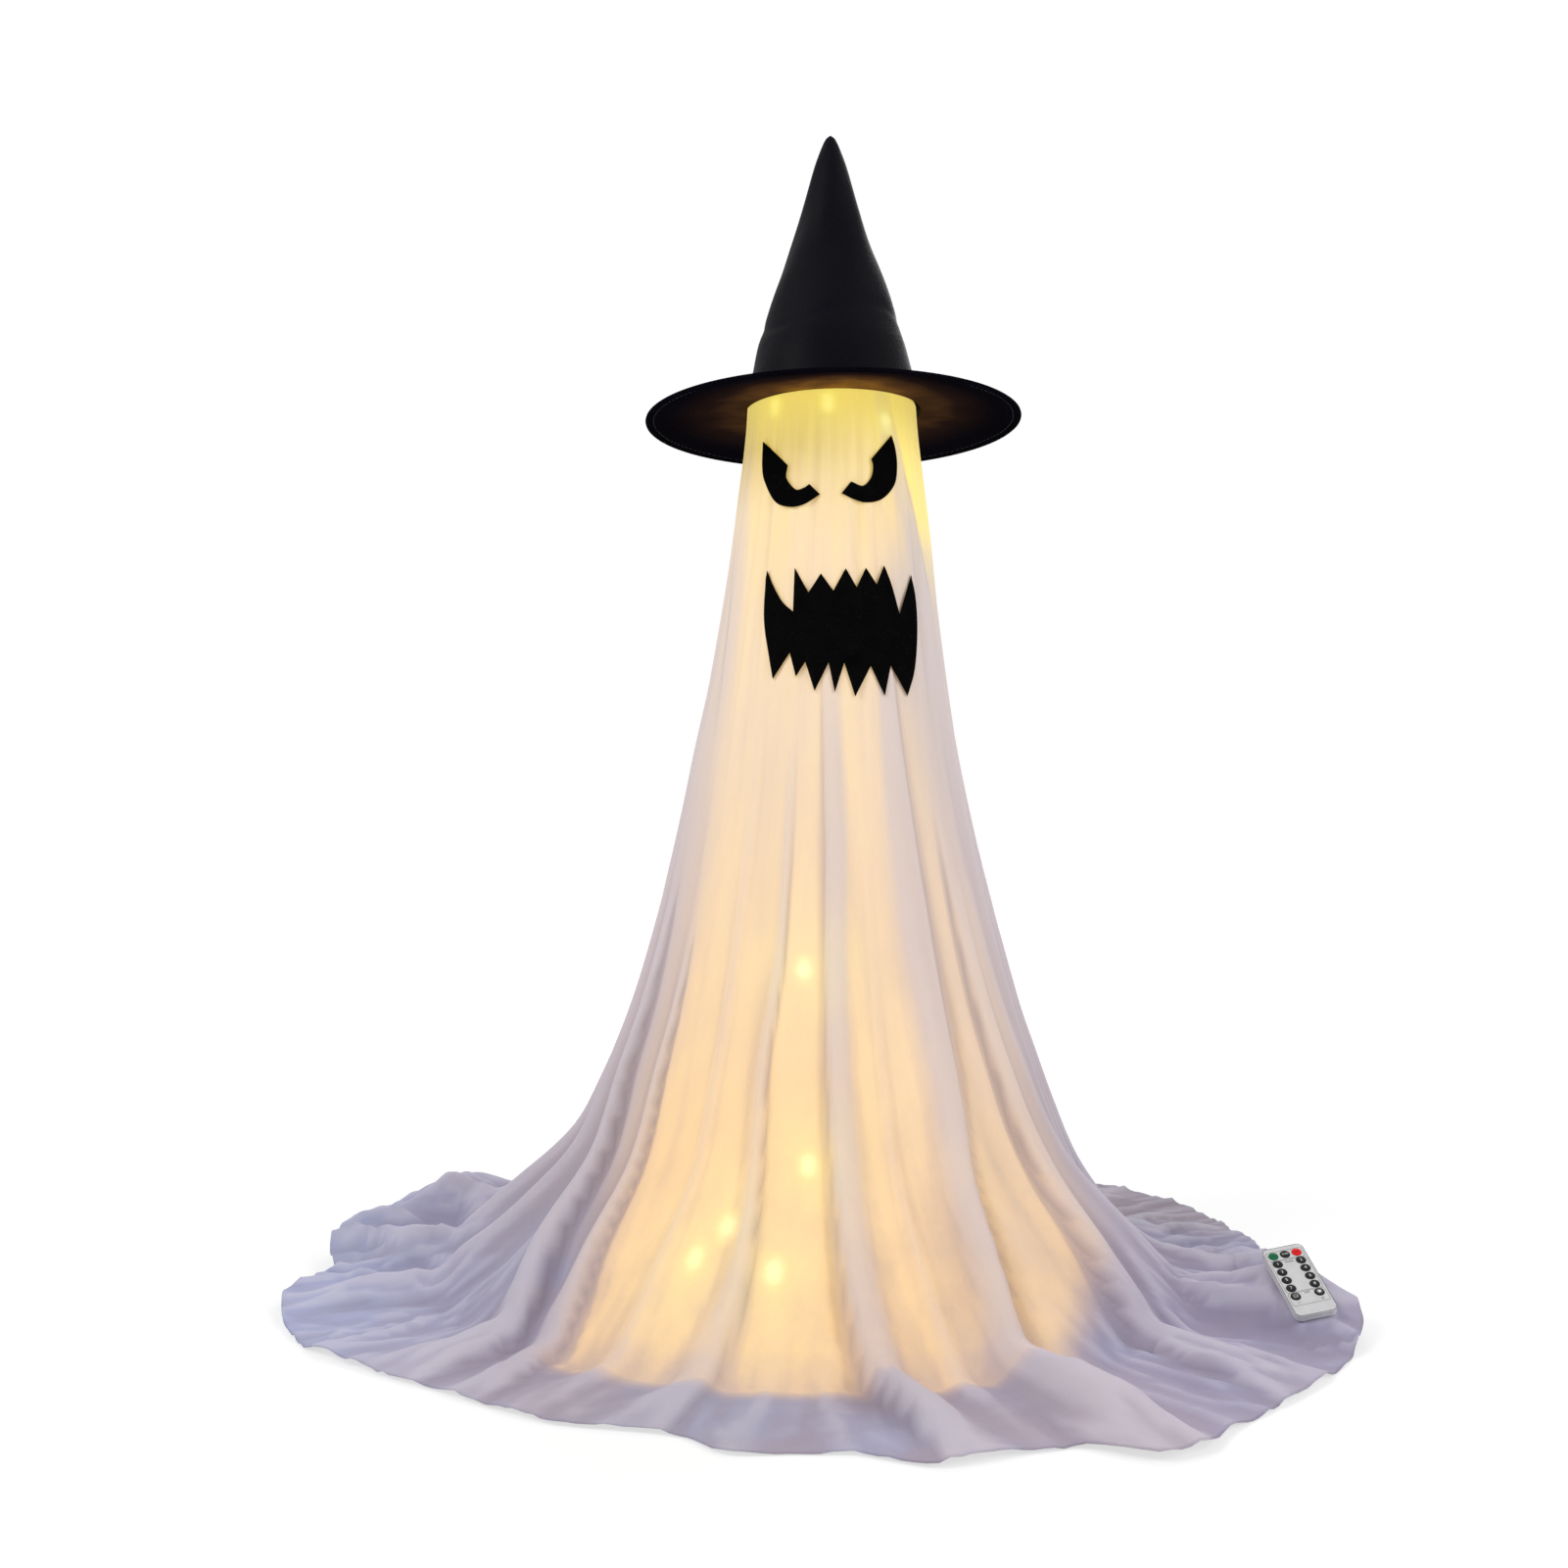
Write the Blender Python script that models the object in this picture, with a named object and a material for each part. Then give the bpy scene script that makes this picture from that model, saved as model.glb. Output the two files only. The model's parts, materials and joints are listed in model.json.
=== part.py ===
"""Standing ghost decoration: a draped cloth ghost with a pointed hat on a lit pole stand, and its card remote.

Metres, +Z up. The origin is the middle of the base pad's underside, on the floor. The face looks along -Y.
Angles round the drape are measured from the front (-Y) towards +X.
"""

import math

import bmesh
import bpy
from mathutils import Matrix, Vector

MM = 0.001
DEG = math.pi / 180

# Shared fits
SEAT_GAP = 0.3 * MM        # between pieces that rest on each other
SLIDE_GAP = 0.3 * MM       # beside pieces that slide
CUT_OVERRUN = 2 * MM       # how far a cutter stands past what it cuts
SHARP_ANGLE = 35 * DEG     # an edge that bends by more is drawn sharp

# Sides of round pieces, and steps of curves
ROUND_STEPS = 18
PIN_STEPS = 12
SMALL_STEPS = 16
BASE_STEPS = 64
SOCKET_STEPS = 24
RIB_STEPS = 10
RING_STEPS = 42
RING_WIRE_SIDES = 6
COIN_STEPS = 32
CORNER_STEPS = 5
CURVE_STEPS = 12

# Stand
PAD_RADIUS = 147 * MM
PAD_THICKNESS = 2 * MM
BASE_RADIUS = 150 * MM
BASE_THICKNESS = 3 * MM
BASE_EDGE = 0.8 * MM
SOCKET_FLANGE_RADIUS = 32 * MM
SOCKET_FLANGE_THICKNESS = 4 * MM
SOCKET_BOSS_RADIUS = 15 * MM
SOCKET_BOSS_HEIGHT = 46 * MM
SOCKET_SCREW_COUNT = 3
SOCKET_SCREW_CIRCLE = 24 * MM
SOCKET_SCREW_TURN_SHARE = 0.22     # where the first screw stands, as a share of the way to the next
SCREW_SHANK_RADIUS = 2 * MM
SCREW_HEAD_RADIUS = 3.6 * MM
SCREW_HEAD_HEIGHT = 2.2 * MM
SET_SCREW_RADIUS = 2 * MM
SET_SCREW_PROUD = 1.5 * MM
SET_SCREW_HEIGHT = 28 * MM
POLE_RADIUS = 8 * MM
POLE_WALL = 1 * MM
POLE_SECTIONS = 3
SPIGOT_LENGTH = 24 * MM
SPIGOT_CLEARANCE = 0.35 * MM
SPIGOT_ROOT = 10 * MM

# Head frame
HUB_RADIUS = 15 * MM
HUB_BELOW_CLOTH = 2 * MM
HUB_HEIGHT = 32 * MM
HUB_SOCKET_DEPTH = 8 * MM
RIB_COUNT = 4
RIB_RADIUS = 1.5 * MM
HOOP_WIRE_RADIUS = 2 * MM
HOOP_INSET = 7.2 * MM      # from the middle of the head's rounded corner out to the hoop wire

# Drape
HEAD_TOP = 923 * MM
HEAD_RADIUS = 89.3 * MM
HEAD_CORNER = 14 * MM
CLOTH_THICKNESS = 2.4 * MM
SKIRT_FOOT_RADIUS = 420 * MM
HEM_RADIUS = 550 * MM
RIDGE_HEIGHT = 15 * MM     # how far a full pleat stands out of the drape
PLEAT_HALF_ANGLE = 3.6 * DEG
HEM_LIFT = 18 * MM         # how high a pleat stands off the floor along the hem
HEM_LIFT_LOST_SHARE = 0.6  # how much of that height is lost out at the hem's edge
HEM_REACH_SHARES = (0, 0.5, 1)     # rings of the cloth that lies on the floor, out to the edge
# Height and radius of each ring down the drape, and how much of a full pleat shows there
DRAPE_RING_SHARES = (
    (0.867, 0.038, 0.00),
    (0.639, 0.126, 0.02),
    (0.455, 0.222, 0.35),
    (0.271, 0.372, 0.65),
    (0.157, 0.515, 0.90),
    (0.087, 0.704, 1.00),
    (0.033, 0.860, 1.10),
)
# Angle of each pleat in degrees, its depth and width as shares, and the hem's radius there as a share
PLEATS = (
    (-92, 1.0, 1.0, 0.985),
    (-74, 0.9, 0.9, 1.000),
    (-57, 1.0, 1.1, 0.985),
    (-41, 0.8, 0.9, 0.950),
    (-17, 0.6, 0.6, 0.970),
    (2, 0.9, 0.9, 1.010),
    (24, 1.1, 1.2, 1.090),
    (44, 0.9, 1.0, 1.030),
    (64, 1.0, 1.95, 0.993),
    (88, 1.0, 1.0, 0.930),
    (111, 0.9, 1.0, 0.930),
    (135, 1.1, 1.1, 1.000),
    (158, 0.9, 1.0, 1.020),
    (-178, 1.0, 1.1, 1.000),
    (-152, 1.0, 1.0, 1.020),
    (-122, 1.1, 1.1, 1.010),
)
REST_PLEAT = 8             # the pleat that the remote lies on
REST_HEIGHT = 56 * MM
REST_FOOT_LIFT_SHARES = (0.05, 0.13, 0.00)
REST_CREST_LIFT_SHARES = (0.75, 1.00, 0.30)

# Face
FACE_THICKNESS = 1 * MM
FACE_STEPS = 72
FACE_RINGS = 3             # rings of the drape that the face lies over
FACE_CLEAR = 0.4 * MM
EYE_HEIGHT = 73 * MM
LEFT_EYE_WIDTH = 59 * MM
LEFT_EYE_SIDE = -70.5 * MM
LEFT_EYE_RISE = 59 * MM     # from the mouth's top up to the eye's foot
RIGHT_EYE_WIDTH = 56.5 * MM
RIGHT_EYE_SIDE = 10 * MM
RIGHT_EYE_RISE = 63 * MM
MOUTH_WIDTH = 154 * MM
MOUTH_HEIGHT = 134 * MM
MOUTH_SIDE = -67.5 * MM
MOUTH_FOOT = 596 * MM
LEFT_EYE_SHARES = (
    (0.01, 1.00), (0.45, 0.59), (0.43, 0.41), (0.58, 0.24), (0.72, 0.25), (0.82, 0.30), (1.00, 0.15),
    (0.73, 0.02), (0.48, 0.00), (0.23, 0.10), (0.05, 0.40), (0.00, 0.63),
)
RIGHT_EYE_SHARES = (
    (0.90, 1.00), (0.53, 0.62), (0.56, 0.51), (0.52, 0.35), (0.38, 0.23), (0.17, 0.28), (0.00, 0.11),
    (0.26, 0.02), (0.48, 0.00), (0.74, 0.08), (0.95, 0.30), (1.00, 0.56), (0.97, 0.81),
)
MOUTH_SHARES = (
    (0.02, 0.97), (0.06, 0.85), (0.12, 0.72), (0.19, 0.64), (0.20, 0.97), (0.29, 0.78), (0.37, 0.92),
    (0.45, 0.79), (0.53, 0.96), (0.60, 0.82), (0.66, 0.97), (0.73, 0.85), (0.78, 1.00), (0.83, 0.85),
    (0.88, 0.64), (0.96, 0.95), (0.99, 0.78), (1.00, 0.53), (0.98, 0.23), (0.93, 0.02), (0.82, 0.24),
    (0.78, 0.01), (0.69, 0.23), (0.59, 0.00), (0.52, 0.25), (0.46, 0.03), (0.42, 0.25), (0.33, 0.04),
    (0.27, 0.26), (0.21, 0.15), (0.17, 0.33), (0.06, 0.14), (0.04, 0.27), (0.00, 0.59), (0.01, 0.91),
)

# Hat
HAT_SEAT = 15 * MM         # from the head's top down to the hat's mouth
HAT_SLACK = 2.8 * MM       # how much wider the mouth is than the head
HAT_SHIFT = 1.8 * MM       # the hat sits this far to the right
HAT_TILT = -1 * DEG
HAT_CONE_HEIGHT = 292 * MM
HAT_WALL = 1.5 * MM
HAT_TIP_RADIUS = 5 * MM
HAT_FULLNESS = 4.7 * MM    # how far the cone swells past a straight line
# Height up the cone, and how much of the swelling it has there
HAT_FULL_SHARES = ((0.20, 1.00), (0.86, 0.45))
HAT_STEPS = 42
BRIM_RADIUS = 197.5 * MM
BRIM_SKIN = 1.2 * MM
BRIM_DROOP = 11 * MM
BRIM_WIRE_RADIUS = 1 * MM
BRIM_BEND_SHARES = ((0.35, 0.22), (0.70, 0.58))
BRIM_ROLL_STEPS = 3

# String of lights
WIRE_RADIUS = 0.8 * MM
LED_RADIUS = 2.6 * MM
LED_LENGTH = 6 * MM
LED_NECK = 1.2 * MM
LED_SPACING = 96 * MM
LED_FIRST = 119 * MM
WIND_TURNS = 8
WIND_POINTS = 24
WIND_START = 74 * MM
WIND_TOP_ROOM = 34 * MM
WIND_LOOSENESS = 14 * MM
WIND_LOOSE_TURN = 36 * DEG     # the side away from which the turns hang loosest
CROWN_TURNS = 1.4
CROWN_RADIUS = 73 * MM
CROWN_DRAWN_IN = 9 * MM
CROWN_START = -30 * DEG
WIRE_STEP = 11 * MM
WIRE_BEND = 3 * MM
WIRE_FLOOR_STEPS = 8
WIRE_RISE_STEPS = 6
WIRE_NEAR_LIGHTS = 5       # parts of the wire closer along it than this many lights aren't compared
# The wire's way over the base plate and up to the pole, in millimetres from the pole's axis and the plate
WIRE_FLOOR_ROUTE = (
    (16, -40, 1), (-24, -47, 0), (-61, -36, 0), (-104, -34, 0), (-134, -12, 0),
    (-139, 20, 0), (-132, 54, 8), (-108, 78, 19), (-76, 72, 24), (-50, 48, 32), (-34, 26, 48),
)

# Battery box
BOX_LENGTH = 78 * MM
BOX_WIDTH = 50 * MM
BOX_HEIGHT = 20 * MM
BOX_WALL = 2 * MM
BOX_FLOOR = 1.6 * MM
BOX_CORNER = 3 * MM
BOX_CORNER_STEPS = 4
BOX_PLACE = 86 * MM        # from the pole's axis to the middle of the box
BOX_TURN = 8 * DEG
BOX_BAY_START = 20 * MM    # length of the electronics bay at the pole's end
BOX_PARTITION = 1.5 * MM
BOX_COVER_THICKNESS = 1.3 * MM
BOX_COVER_TONGUE = 0.9 * MM
BOX_COVER_DEPTH = 2.5 * MM
CELL_RADIUS = 7.2 * MM
CELL_LENGTH = 50.5 * MM
CELL_NUB_RADIUS = 2.7 * MM
CELL_NUB_HEIGHT = 1.2 * MM
CELL_COUNT = 3
CONTACT_THICKNESS = 0.6 * MM
BOX_BOARD_THICKNESS = 1.2 * MM
MODE_BUTTON_RADIUS = 3.5 * MM
MODE_BUTTON_FLANGE = 0.6 * MM
MODE_BUTTON_PROUD = 1 * MM
MODE_BUTTON_TRAVEL = 0.6 * MM
MODE_BUTTON_STEPS = 20
RECEIVER_RADIUS = 2.5 * MM
RECEIVER_ASIDE = 13 * MM
GLAND_RADIUS = 3 * MM
GLAND_LENGTH = 9 * MM
GLAND_BORE = 1.3 * MM
GLAND_ASIDE = 12 * MM
GLAND_HEIGHT = 8 * MM

# Card remote, measured from the middle of its lower end's back edge
CARD_WIDTH = 40 * MM
CARD_LENGTH = 86 * MM
CARD_CORNER = 6.5 * MM
CARD_EDGE = 0.7 * MM
CARD_FLOOR = 1.2 * MM
CARD_WALL = 1.6 * MM
CARD_SIDE_HEIGHT = 5.6 * MM
CARD_FACE_THICKNESS = 1.4 * MM
CARD_BOARD_THICKNESS = 1 * MM
CARD_LEAN = 32 * DEG
CARD_ROLL = 18.5 * DEG
CARD_TURN = -10 * DEG
CARD_REST_ACROSS = 8 * MM
CARD_REST_ALONG = 64 * MM
BUTTON_RADIUS = 4.5 * MM
BUTTON_FLANGE_RADIUS = 4.95 * MM
BUTTON_HOLE_CLEARANCE = 0.25 * MM
BUTTON_TRAVEL = 0.6 * MM
BUTTON_STOP_GAP = 0.1 * MM
BUTTON_PROUD = 0.5 * MM
BUTTON_DOME = 0.4 * MM
BUTTON_SHOULDER_RADIUS_SHARE = 0.8
BUTTON_SHOULDER_HEIGHT_SHARE = 0.6
BUTTON_ROW_PITCH = 10.35 * MM
BUTTON_TOP_MARGIN = 10.5 * MM
BUTTON_COLUMN = 11.3 * MM
MODE_COUNT = 8             # the numbered buttons, in two columns
COIN_RADIUS = 10 * MM
COIN_THICKNESS = 2.5 * MM
TRAY_RIM = 0.8 * MM
TRAY_FLOOR = 0.65 * MM
TRAY_NOSE_STEPS = 16
CARD_LED_RADIUS = 1.4 * MM
CARD_LED_LENGTH = 5 * MM
CARD_LED_PROUD = 0.5 * MM

# Heights and places worked out from the sizes above
BASE_TOP = PAD_THICKNESS + SEAT_GAP + BASE_THICKNESS
SOCKET_FOOT = BASE_TOP + SEAT_GAP
CLOTH_INSIDE_TOP = HEAD_TOP - CLOTH_THICKNESS
HUB_TOP = CLOTH_INSIDE_TOP - HUB_BELOW_CLOTH
POLE_TOP = HUB_TOP - HUB_HEIGHT - SEAT_GAP
POLE_FOOT = SOCKET_FOOT
CORNER_RADIUS_AT = HEAD_RADIUS - HEAD_CORNER
CORNER_HEIGHT_AT = HEAD_TOP - HEAD_CORNER
HOOP_RADIUS = CORNER_RADIUS_AT + HOOP_INSET * math.cos(math.pi / 4)
HOOP_HEIGHT = CORNER_HEIGHT_AT + HOOP_INSET * math.sin(math.pi / 4)
LEFT_EYE_FOOT = MOUTH_FOOT + MOUTH_HEIGHT + LEFT_EYE_RISE
RIGHT_EYE_FOOT = MOUTH_FOOT + MOUTH_HEIGHT + RIGHT_EYE_RISE
HAT_MOUTH = HEAD_TOP - HAT_SEAT
HAT_MOUTH_RADIUS = HEAD_RADIUS + HAT_SLACK

MATERIALS = {
    "black_steel": ((0.03, 0.03, 0.035), 0.45, 0.6),
    "foam_pad": ((0.05, 0.05, 0.05), 0.9, 0.0),
    "zinc_steel": ((0.60, 0.61, 0.63), 0.35, 1.0),
    "black_plastic": ((0.02, 0.02, 0.02), 0.5, 0.0),
    "white_plastic": ((0.80, 0.80, 0.78), 0.45, 0.0),
    "ghost_cloth": ((0.90, 0.84, 0.80), 0.85, 0.0),
    "black_felt": ((0.008, 0.008, 0.01), 0.95, 0.0),
    "hat_cloth": ((0.008, 0.008, 0.015), 0.6, 0.0),
    "light_string": ((0.95, 0.80, 0.35), 0.3, 0.0),
    "cell_wrap": ((0.10, 0.25, 0.12), 0.35, 0.1),
    "contact_metal": ((0.75, 0.72, 0.65), 0.3, 1.0),
    "circuit_board": ((0.02, 0.20, 0.07), 0.5, 0.0),
    "dark_lens": ((0.02, 0.01, 0.02), 0.1, 0.0),
    "card_grey": ((0.72, 0.72, 0.72), 0.4, 0.0),
    "button_black": ((0.01, 0.01, 0.01), 0.4, 0.0),
    "button_green": ((0.0, 0.18, 0.06), 0.4, 0.0),
    "button_red": ((0.75, 0.01, 0.01), 0.4, 0.0),
}


def clear_scene():
    for item in list(bpy.data.objects):
        bpy.data.objects.remove(item, do_unlink=True)


def material(name):
    found = bpy.data.materials.get(name)
    if found:
        return found
    colour, roughness, metallic = MATERIALS[name]
    made = bpy.data.materials.new(name)
    made.use_nodes = True
    shader = made.node_tree.nodes["Principled BSDF"]
    shader.inputs["Base Color"].default_value = (*colour, 1)
    shader.inputs["Roughness"].default_value = roughness
    shader.inputs["Metallic"].default_value = metallic
    return made


def empty(name, matrix):
    made = bpy.data.objects.new(name, None)
    made.matrix_world = matrix
    bpy.context.scene.collection.objects.link(made)
    return made


def place(name, mesh, finish, parent=None, spot=(0, 0, 0), turn=None):
    made = bpy.data.objects.new(name, mesh)
    bpy.context.scene.collection.objects.link(made)
    if finish:
        made.data.materials.append(material(finish))
    made.parent = parent
    made.matrix_local = Matrix.Translation(Vector(spot)) @ (turn or Matrix.Identity(4))
    return made


def mesh_from(name, points, faces, smooth=True):
    shape = bmesh.new()
    corners = [shape.verts.new(point) for point in points]
    for face in faces:
        shape.faces.new([corners[index] for index in face])
    bmesh.ops.recalc_face_normals(shape, faces=shape.faces)
    if shape.calc_volume(signed=True) < 0:
        bmesh.ops.reverse_faces(shape, faces=shape.faces)
    mesh = bpy.data.meshes.new(name)
    shape.to_mesh(mesh)
    shape.free()
    if smooth:
        mesh.shade_smooth()
        mesh.set_sharp_from_angle(angle=SHARP_ANGLE)
    return mesh


def turned_mesh(name, profile, steps=ROUND_STEPS):
    """Turn a closed outline of (radius, height) about Z. A point of zero radius becomes one pole point."""
    points = []
    rings = []
    for radius, height in profile:
        if radius == 0:
            rings.append([len(points)] * steps)
            points.append((0, 0, height))
            continue
        rings.append(list(range(len(points), len(points) + steps)))
        for step in range(steps):
            angle = 2 * math.pi * step / steps
            points.append((radius * math.cos(angle), radius * math.sin(angle), height))
    faces = []
    for index, ring in enumerate(rings):
        after = rings[(index + 1) % len(rings)]
        if len(set(ring)) == 1 and len(set(after)) == 1:
            continue
        for step in range(steps):
            turn = (step + 1) % steps
            loop = [ring[step], ring[turn], after[turn], after[step]]
            faces.append(list(dict.fromkeys(loop)))
    return mesh_from(name, points, faces)


def stacked_mesh(name, sections):
    """Join outlines with equal point counts, each given as (points, height), and cap both ends."""
    count = len(sections[0][0])
    points = []
    for outline, height in sections:
        points += [(x, y, height) for x, y in outline]
    faces = [list(range(count)), list(range(len(points) - count, len(points)))]
    for level in range(len(sections) - 1):
        low = level * count
        for step in range(count):
            turn = (step + 1) % count
            faces.append([low + step, low + turn, low + count + turn, low + count + step])
    return mesh_from(name, points, faces)


def box_mesh(name, low, high):
    outline = [(low[0], low[1]), (high[0], low[1]), (high[0], high[1]), (low[0], high[1])]
    return stacked_mesh(name, [(outline, low[2]), (outline, high[2])])


def rounded_outline(width, low, high, corner, steps=CORNER_STEPS):
    """A rounded rectangle across X, from low to high along Y."""
    outline = []
    middles = (
        (width / 2 - corner, high - corner),
        (corner - width / 2, high - corner),
        (corner - width / 2, low + corner),
        (width / 2 - corner, low + corner),
    )
    for quarter, (x, y) in enumerate(middles):
        for step in range(steps + 1):
            angle = math.pi / 2 * (quarter + step / steps)
            outline.append((x + corner * math.cos(angle), y + corner * math.sin(angle)))
    return outline


def cut(target, cutter, operation="DIFFERENCE"):
    cutter.hide_render = True
    cutter.display_type = "WIRE"
    modifier = target.modifiers.new("cut", "BOOLEAN")
    modifier.operation = operation
    modifier.object = cutter


def rod_profile(radius, low, high):
    return [(0, low), (radius, low), (radius, high), (0, high)]


def make_base():
    pad = turned_mesh("base_pad", rod_profile(PAD_RADIUS, 0, PAD_THICKNESS), BASE_STEPS)
    place("base_pad", pad, "foam_pad")
    low = PAD_THICKNESS + SEAT_GAP
    profile = [
        (0, low), (BASE_RADIUS - BASE_EDGE, low), (BASE_RADIUS, low + BASE_EDGE),
        (BASE_RADIUS, BASE_TOP - BASE_EDGE), (BASE_RADIUS - BASE_EDGE, BASE_TOP), (0, BASE_TOP),
    ]
    plate = place("base_plate", turned_mesh("base_plate", profile, BASE_STEPS), "black_steel")
    flange_top = SOCKET_FOOT + SOCKET_FLANGE_THICKNESS
    boss_top = SOCKET_FOOT + SOCKET_BOSS_HEIGHT
    bore = POLE_RADIUS + SLIDE_GAP
    profile = [
        (bore, SOCKET_FOOT), (SOCKET_FLANGE_RADIUS, SOCKET_FOOT), (SOCKET_FLANGE_RADIUS, flange_top),
        (SOCKET_BOSS_RADIUS, flange_top), (SOCKET_BOSS_RADIUS, boss_top), (bore, boss_top),
    ]
    socket = place("base_socket", turned_mesh("base_socket", profile, SOCKET_STEPS), "black_plastic")
    hole = SCREW_SHANK_RADIUS + SLIDE_GAP
    for index in range(SOCKET_SCREW_COUNT):
        angle = 2 * math.pi * (index + SOCKET_SCREW_TURN_SHARE) / SOCKET_SCREW_COUNT
        spot = (SOCKET_SCREW_CIRCLE * math.cos(angle), SOCKET_SCREW_CIRCLE * math.sin(angle), 0)
        low = PAD_THICKNESS + SEAT_GAP - CUT_OVERRUN
        drill = turned_mesh("screw_hole", rod_profile(hole, low, flange_top + CUT_OVERRUN), PIN_STEPS)
        drill_object = place(f"screw_hole_{index + 1}", drill, None, spot=spot)
        cut(plate, drill_object)
        cut(socket, drill_object)
        head = flange_top + SEAT_GAP
        profile = [
            (0, PAD_THICKNESS + 2 * SEAT_GAP), (SCREW_SHANK_RADIUS, PAD_THICKNESS + 2 * SEAT_GAP),
            (SCREW_SHANK_RADIUS, head), (SCREW_HEAD_RADIUS, head),
            (SCREW_HEAD_RADIUS, head + SCREW_HEAD_HEIGHT / 2),
            (SCREW_SHANK_RADIUS, head + SCREW_HEAD_HEIGHT), (0, head + SCREW_HEAD_HEIGHT),
        ]
        screw = turned_mesh("socket_screw", profile, PIN_STEPS)
        place(f"socket_screw_{index + 1}", screw, "zinc_steel", spot=spot)
    screw_height = SOCKET_FOOT + SET_SCREW_HEIGHT
    make_set_screw("base_set_screw", socket, screw_height, SOCKET_BOSS_RADIUS, POLE_RADIUS)


def make_set_screw(name, host, height, host_radius, pole_radius):
    """A short screw through the host's wall from behind, stopping just short of the pole."""
    towards_back = Matrix.Rotation(-math.pi / 2, 4, "X")
    low = pole_radius + SEAT_GAP
    profile = rod_profile(SET_SCREW_RADIUS, low, host_radius + SET_SCREW_PROUD)
    hole = rod_profile(SET_SCREW_RADIUS + SLIDE_GAP, pole_radius / 2, host_radius + CUT_OVERRUN)
    drill = place(name + "_hole", turned_mesh(name + "_hole", hole, PIN_STEPS), None,
                  spot=(0, 0, height), turn=towards_back)
    cut(host, drill)
    screw = turned_mesh(name, profile, PIN_STEPS)
    place(name, screw, "zinc_steel", spot=(0, 0, height), turn=towards_back)


def make_pole():
    bore = POLE_RADIUS - POLE_WALL
    spigot = bore - SPIGOT_CLEARANCE
    spigot_bore = spigot - POLE_WALL
    length = (POLE_TOP - POLE_FOOT - (POLE_SECTIONS - 1) * SEAT_GAP) / POLE_SECTIONS
    for index, name in enumerate(("pole_lower", "pole_middle", "pole_upper")[:POLE_SECTIONS]):
        profile = [
            (bore, 0), (POLE_RADIUS, 0), (POLE_RADIUS, length), (spigot, length),
            (spigot, length + SPIGOT_LENGTH), (spigot_bore, length + SPIGOT_LENGTH),
            (spigot_bore, length - SPIGOT_ROOT), (bore, length - SPIGOT_ROOT),
        ]
        foot = POLE_FOOT + index * (length + SEAT_GAP)
        place(name, turned_mesh(name, profile), "black_steel", spot=(0, 0, foot))


def make_head_frame():
    bore = POLE_RADIUS - POLE_WALL
    foot = POLE_TOP + SEAT_GAP
    roof = foot + SPIGOT_LENGTH + SEAT_GAP
    profile = [
        (bore, foot), (HUB_RADIUS, foot), (HUB_RADIUS, HUB_TOP), (0, HUB_TOP), (0, roof), (bore, roof),
    ]
    hub = place("head_hub", turned_mesh("head_hub", profile), "black_plastic")
    make_set_screw("hub_set_screw", hub, foot + SPIGOT_LENGTH / 2, HUB_RADIUS, bore - SPIGOT_CLEARANCE)
    start = HUB_RADIUS - HUB_SOCKET_DEPTH
    end = HOOP_RADIUS - HOOP_WIRE_RADIUS - SEAT_GAP
    rib = turned_mesh("head_rib", rod_profile(RIB_RADIUS, start + SEAT_GAP, end), RIB_STEPS)
    hole_profile = rod_profile(RIB_RADIUS + SLIDE_GAP, start, HUB_RADIUS + CUT_OVERRUN)
    for index in range(RIB_COUNT):
        angle = math.pi * (2 * index + 1) / RIB_COUNT
        outward = Matrix.Rotation(angle, 4, "Z") @ Matrix.Rotation(math.pi / 2, 4, "Y")
        drill = place(f"rib_hole_{index + 1}", turned_mesh("rib_hole", hole_profile, RIB_STEPS), None,
                      spot=(0, 0, HOOP_HEIGHT), turn=outward)
        cut(hub, drill)
        place(f"head_rib_{index + 1}", rib, "zinc_steel", spot=(0, 0, HOOP_HEIGHT), turn=outward)
    place("head_hoop", ring_mesh("head_hoop", HOOP_RADIUS, HOOP_WIRE_RADIUS), "zinc_steel",
          spot=(0, 0, HOOP_HEIGHT))


def ring_mesh(name, radius, wire, steps=RING_STEPS, sides=RING_WIRE_SIDES):
    profile = []
    for side in range(sides):
        angle = 2 * math.pi * side / sides
        profile.append((radius + wire * math.cos(angle), wire * math.sin(angle)))
    return turned_mesh(name, profile, steps)


def round_point(radius, angle, height):
    """A point at an angle from the front towards +X."""
    return Vector((radius * math.sin(angle), -radius * math.cos(angle), height))


def rest_point():
    """Where the remote's back touches the crest of its pleat."""
    angle, _depth, _width, hem = PLEATS[REST_PLEAT]
    radius = (SKIRT_FOOT_RADIUS + HEM_RADIUS * hem) / 2
    return round_point(radius, angle * DEG, REST_HEIGHT)


def card_matrix():
    """The remote's frame: X across, Y from its lower end to its lens end, Z out of its face."""
    turn = Matrix.Rotation(CARD_TURN, 4, "Z") @ Matrix.Rotation(CARD_LEAN, 4, "X")
    turn = turn @ Matrix.Rotation(CARD_ROLL, 4, "Z")
    touch = rest_point() + turn.to_3x3() @ Vector((0, 0, SEAT_GAP))
    return Matrix.Translation(touch - turn.to_3x3() @ Vector((CARD_REST_ACROSS, CARD_REST_ALONG, 0))) @ turn


def card_back_height(point):
    """Height of the plane of the remote's back above or below a point."""
    matrix = card_matrix()
    normal = matrix.to_3x3() @ Vector((0, 0, 1))
    origin = matrix.translation
    along = (point - origin).x * normal.x + (point - origin).y * normal.y
    return origin.z - along / normal.z


def under_card(point):
    """Press the cloth down to the remote's back wherever it would stand higher."""
    if point.z > SEAT_GAP:
        point.z = min(point.z, max(card_back_height(point) - SEAT_GAP, CLOTH_THICKNESS))
    return point


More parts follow.
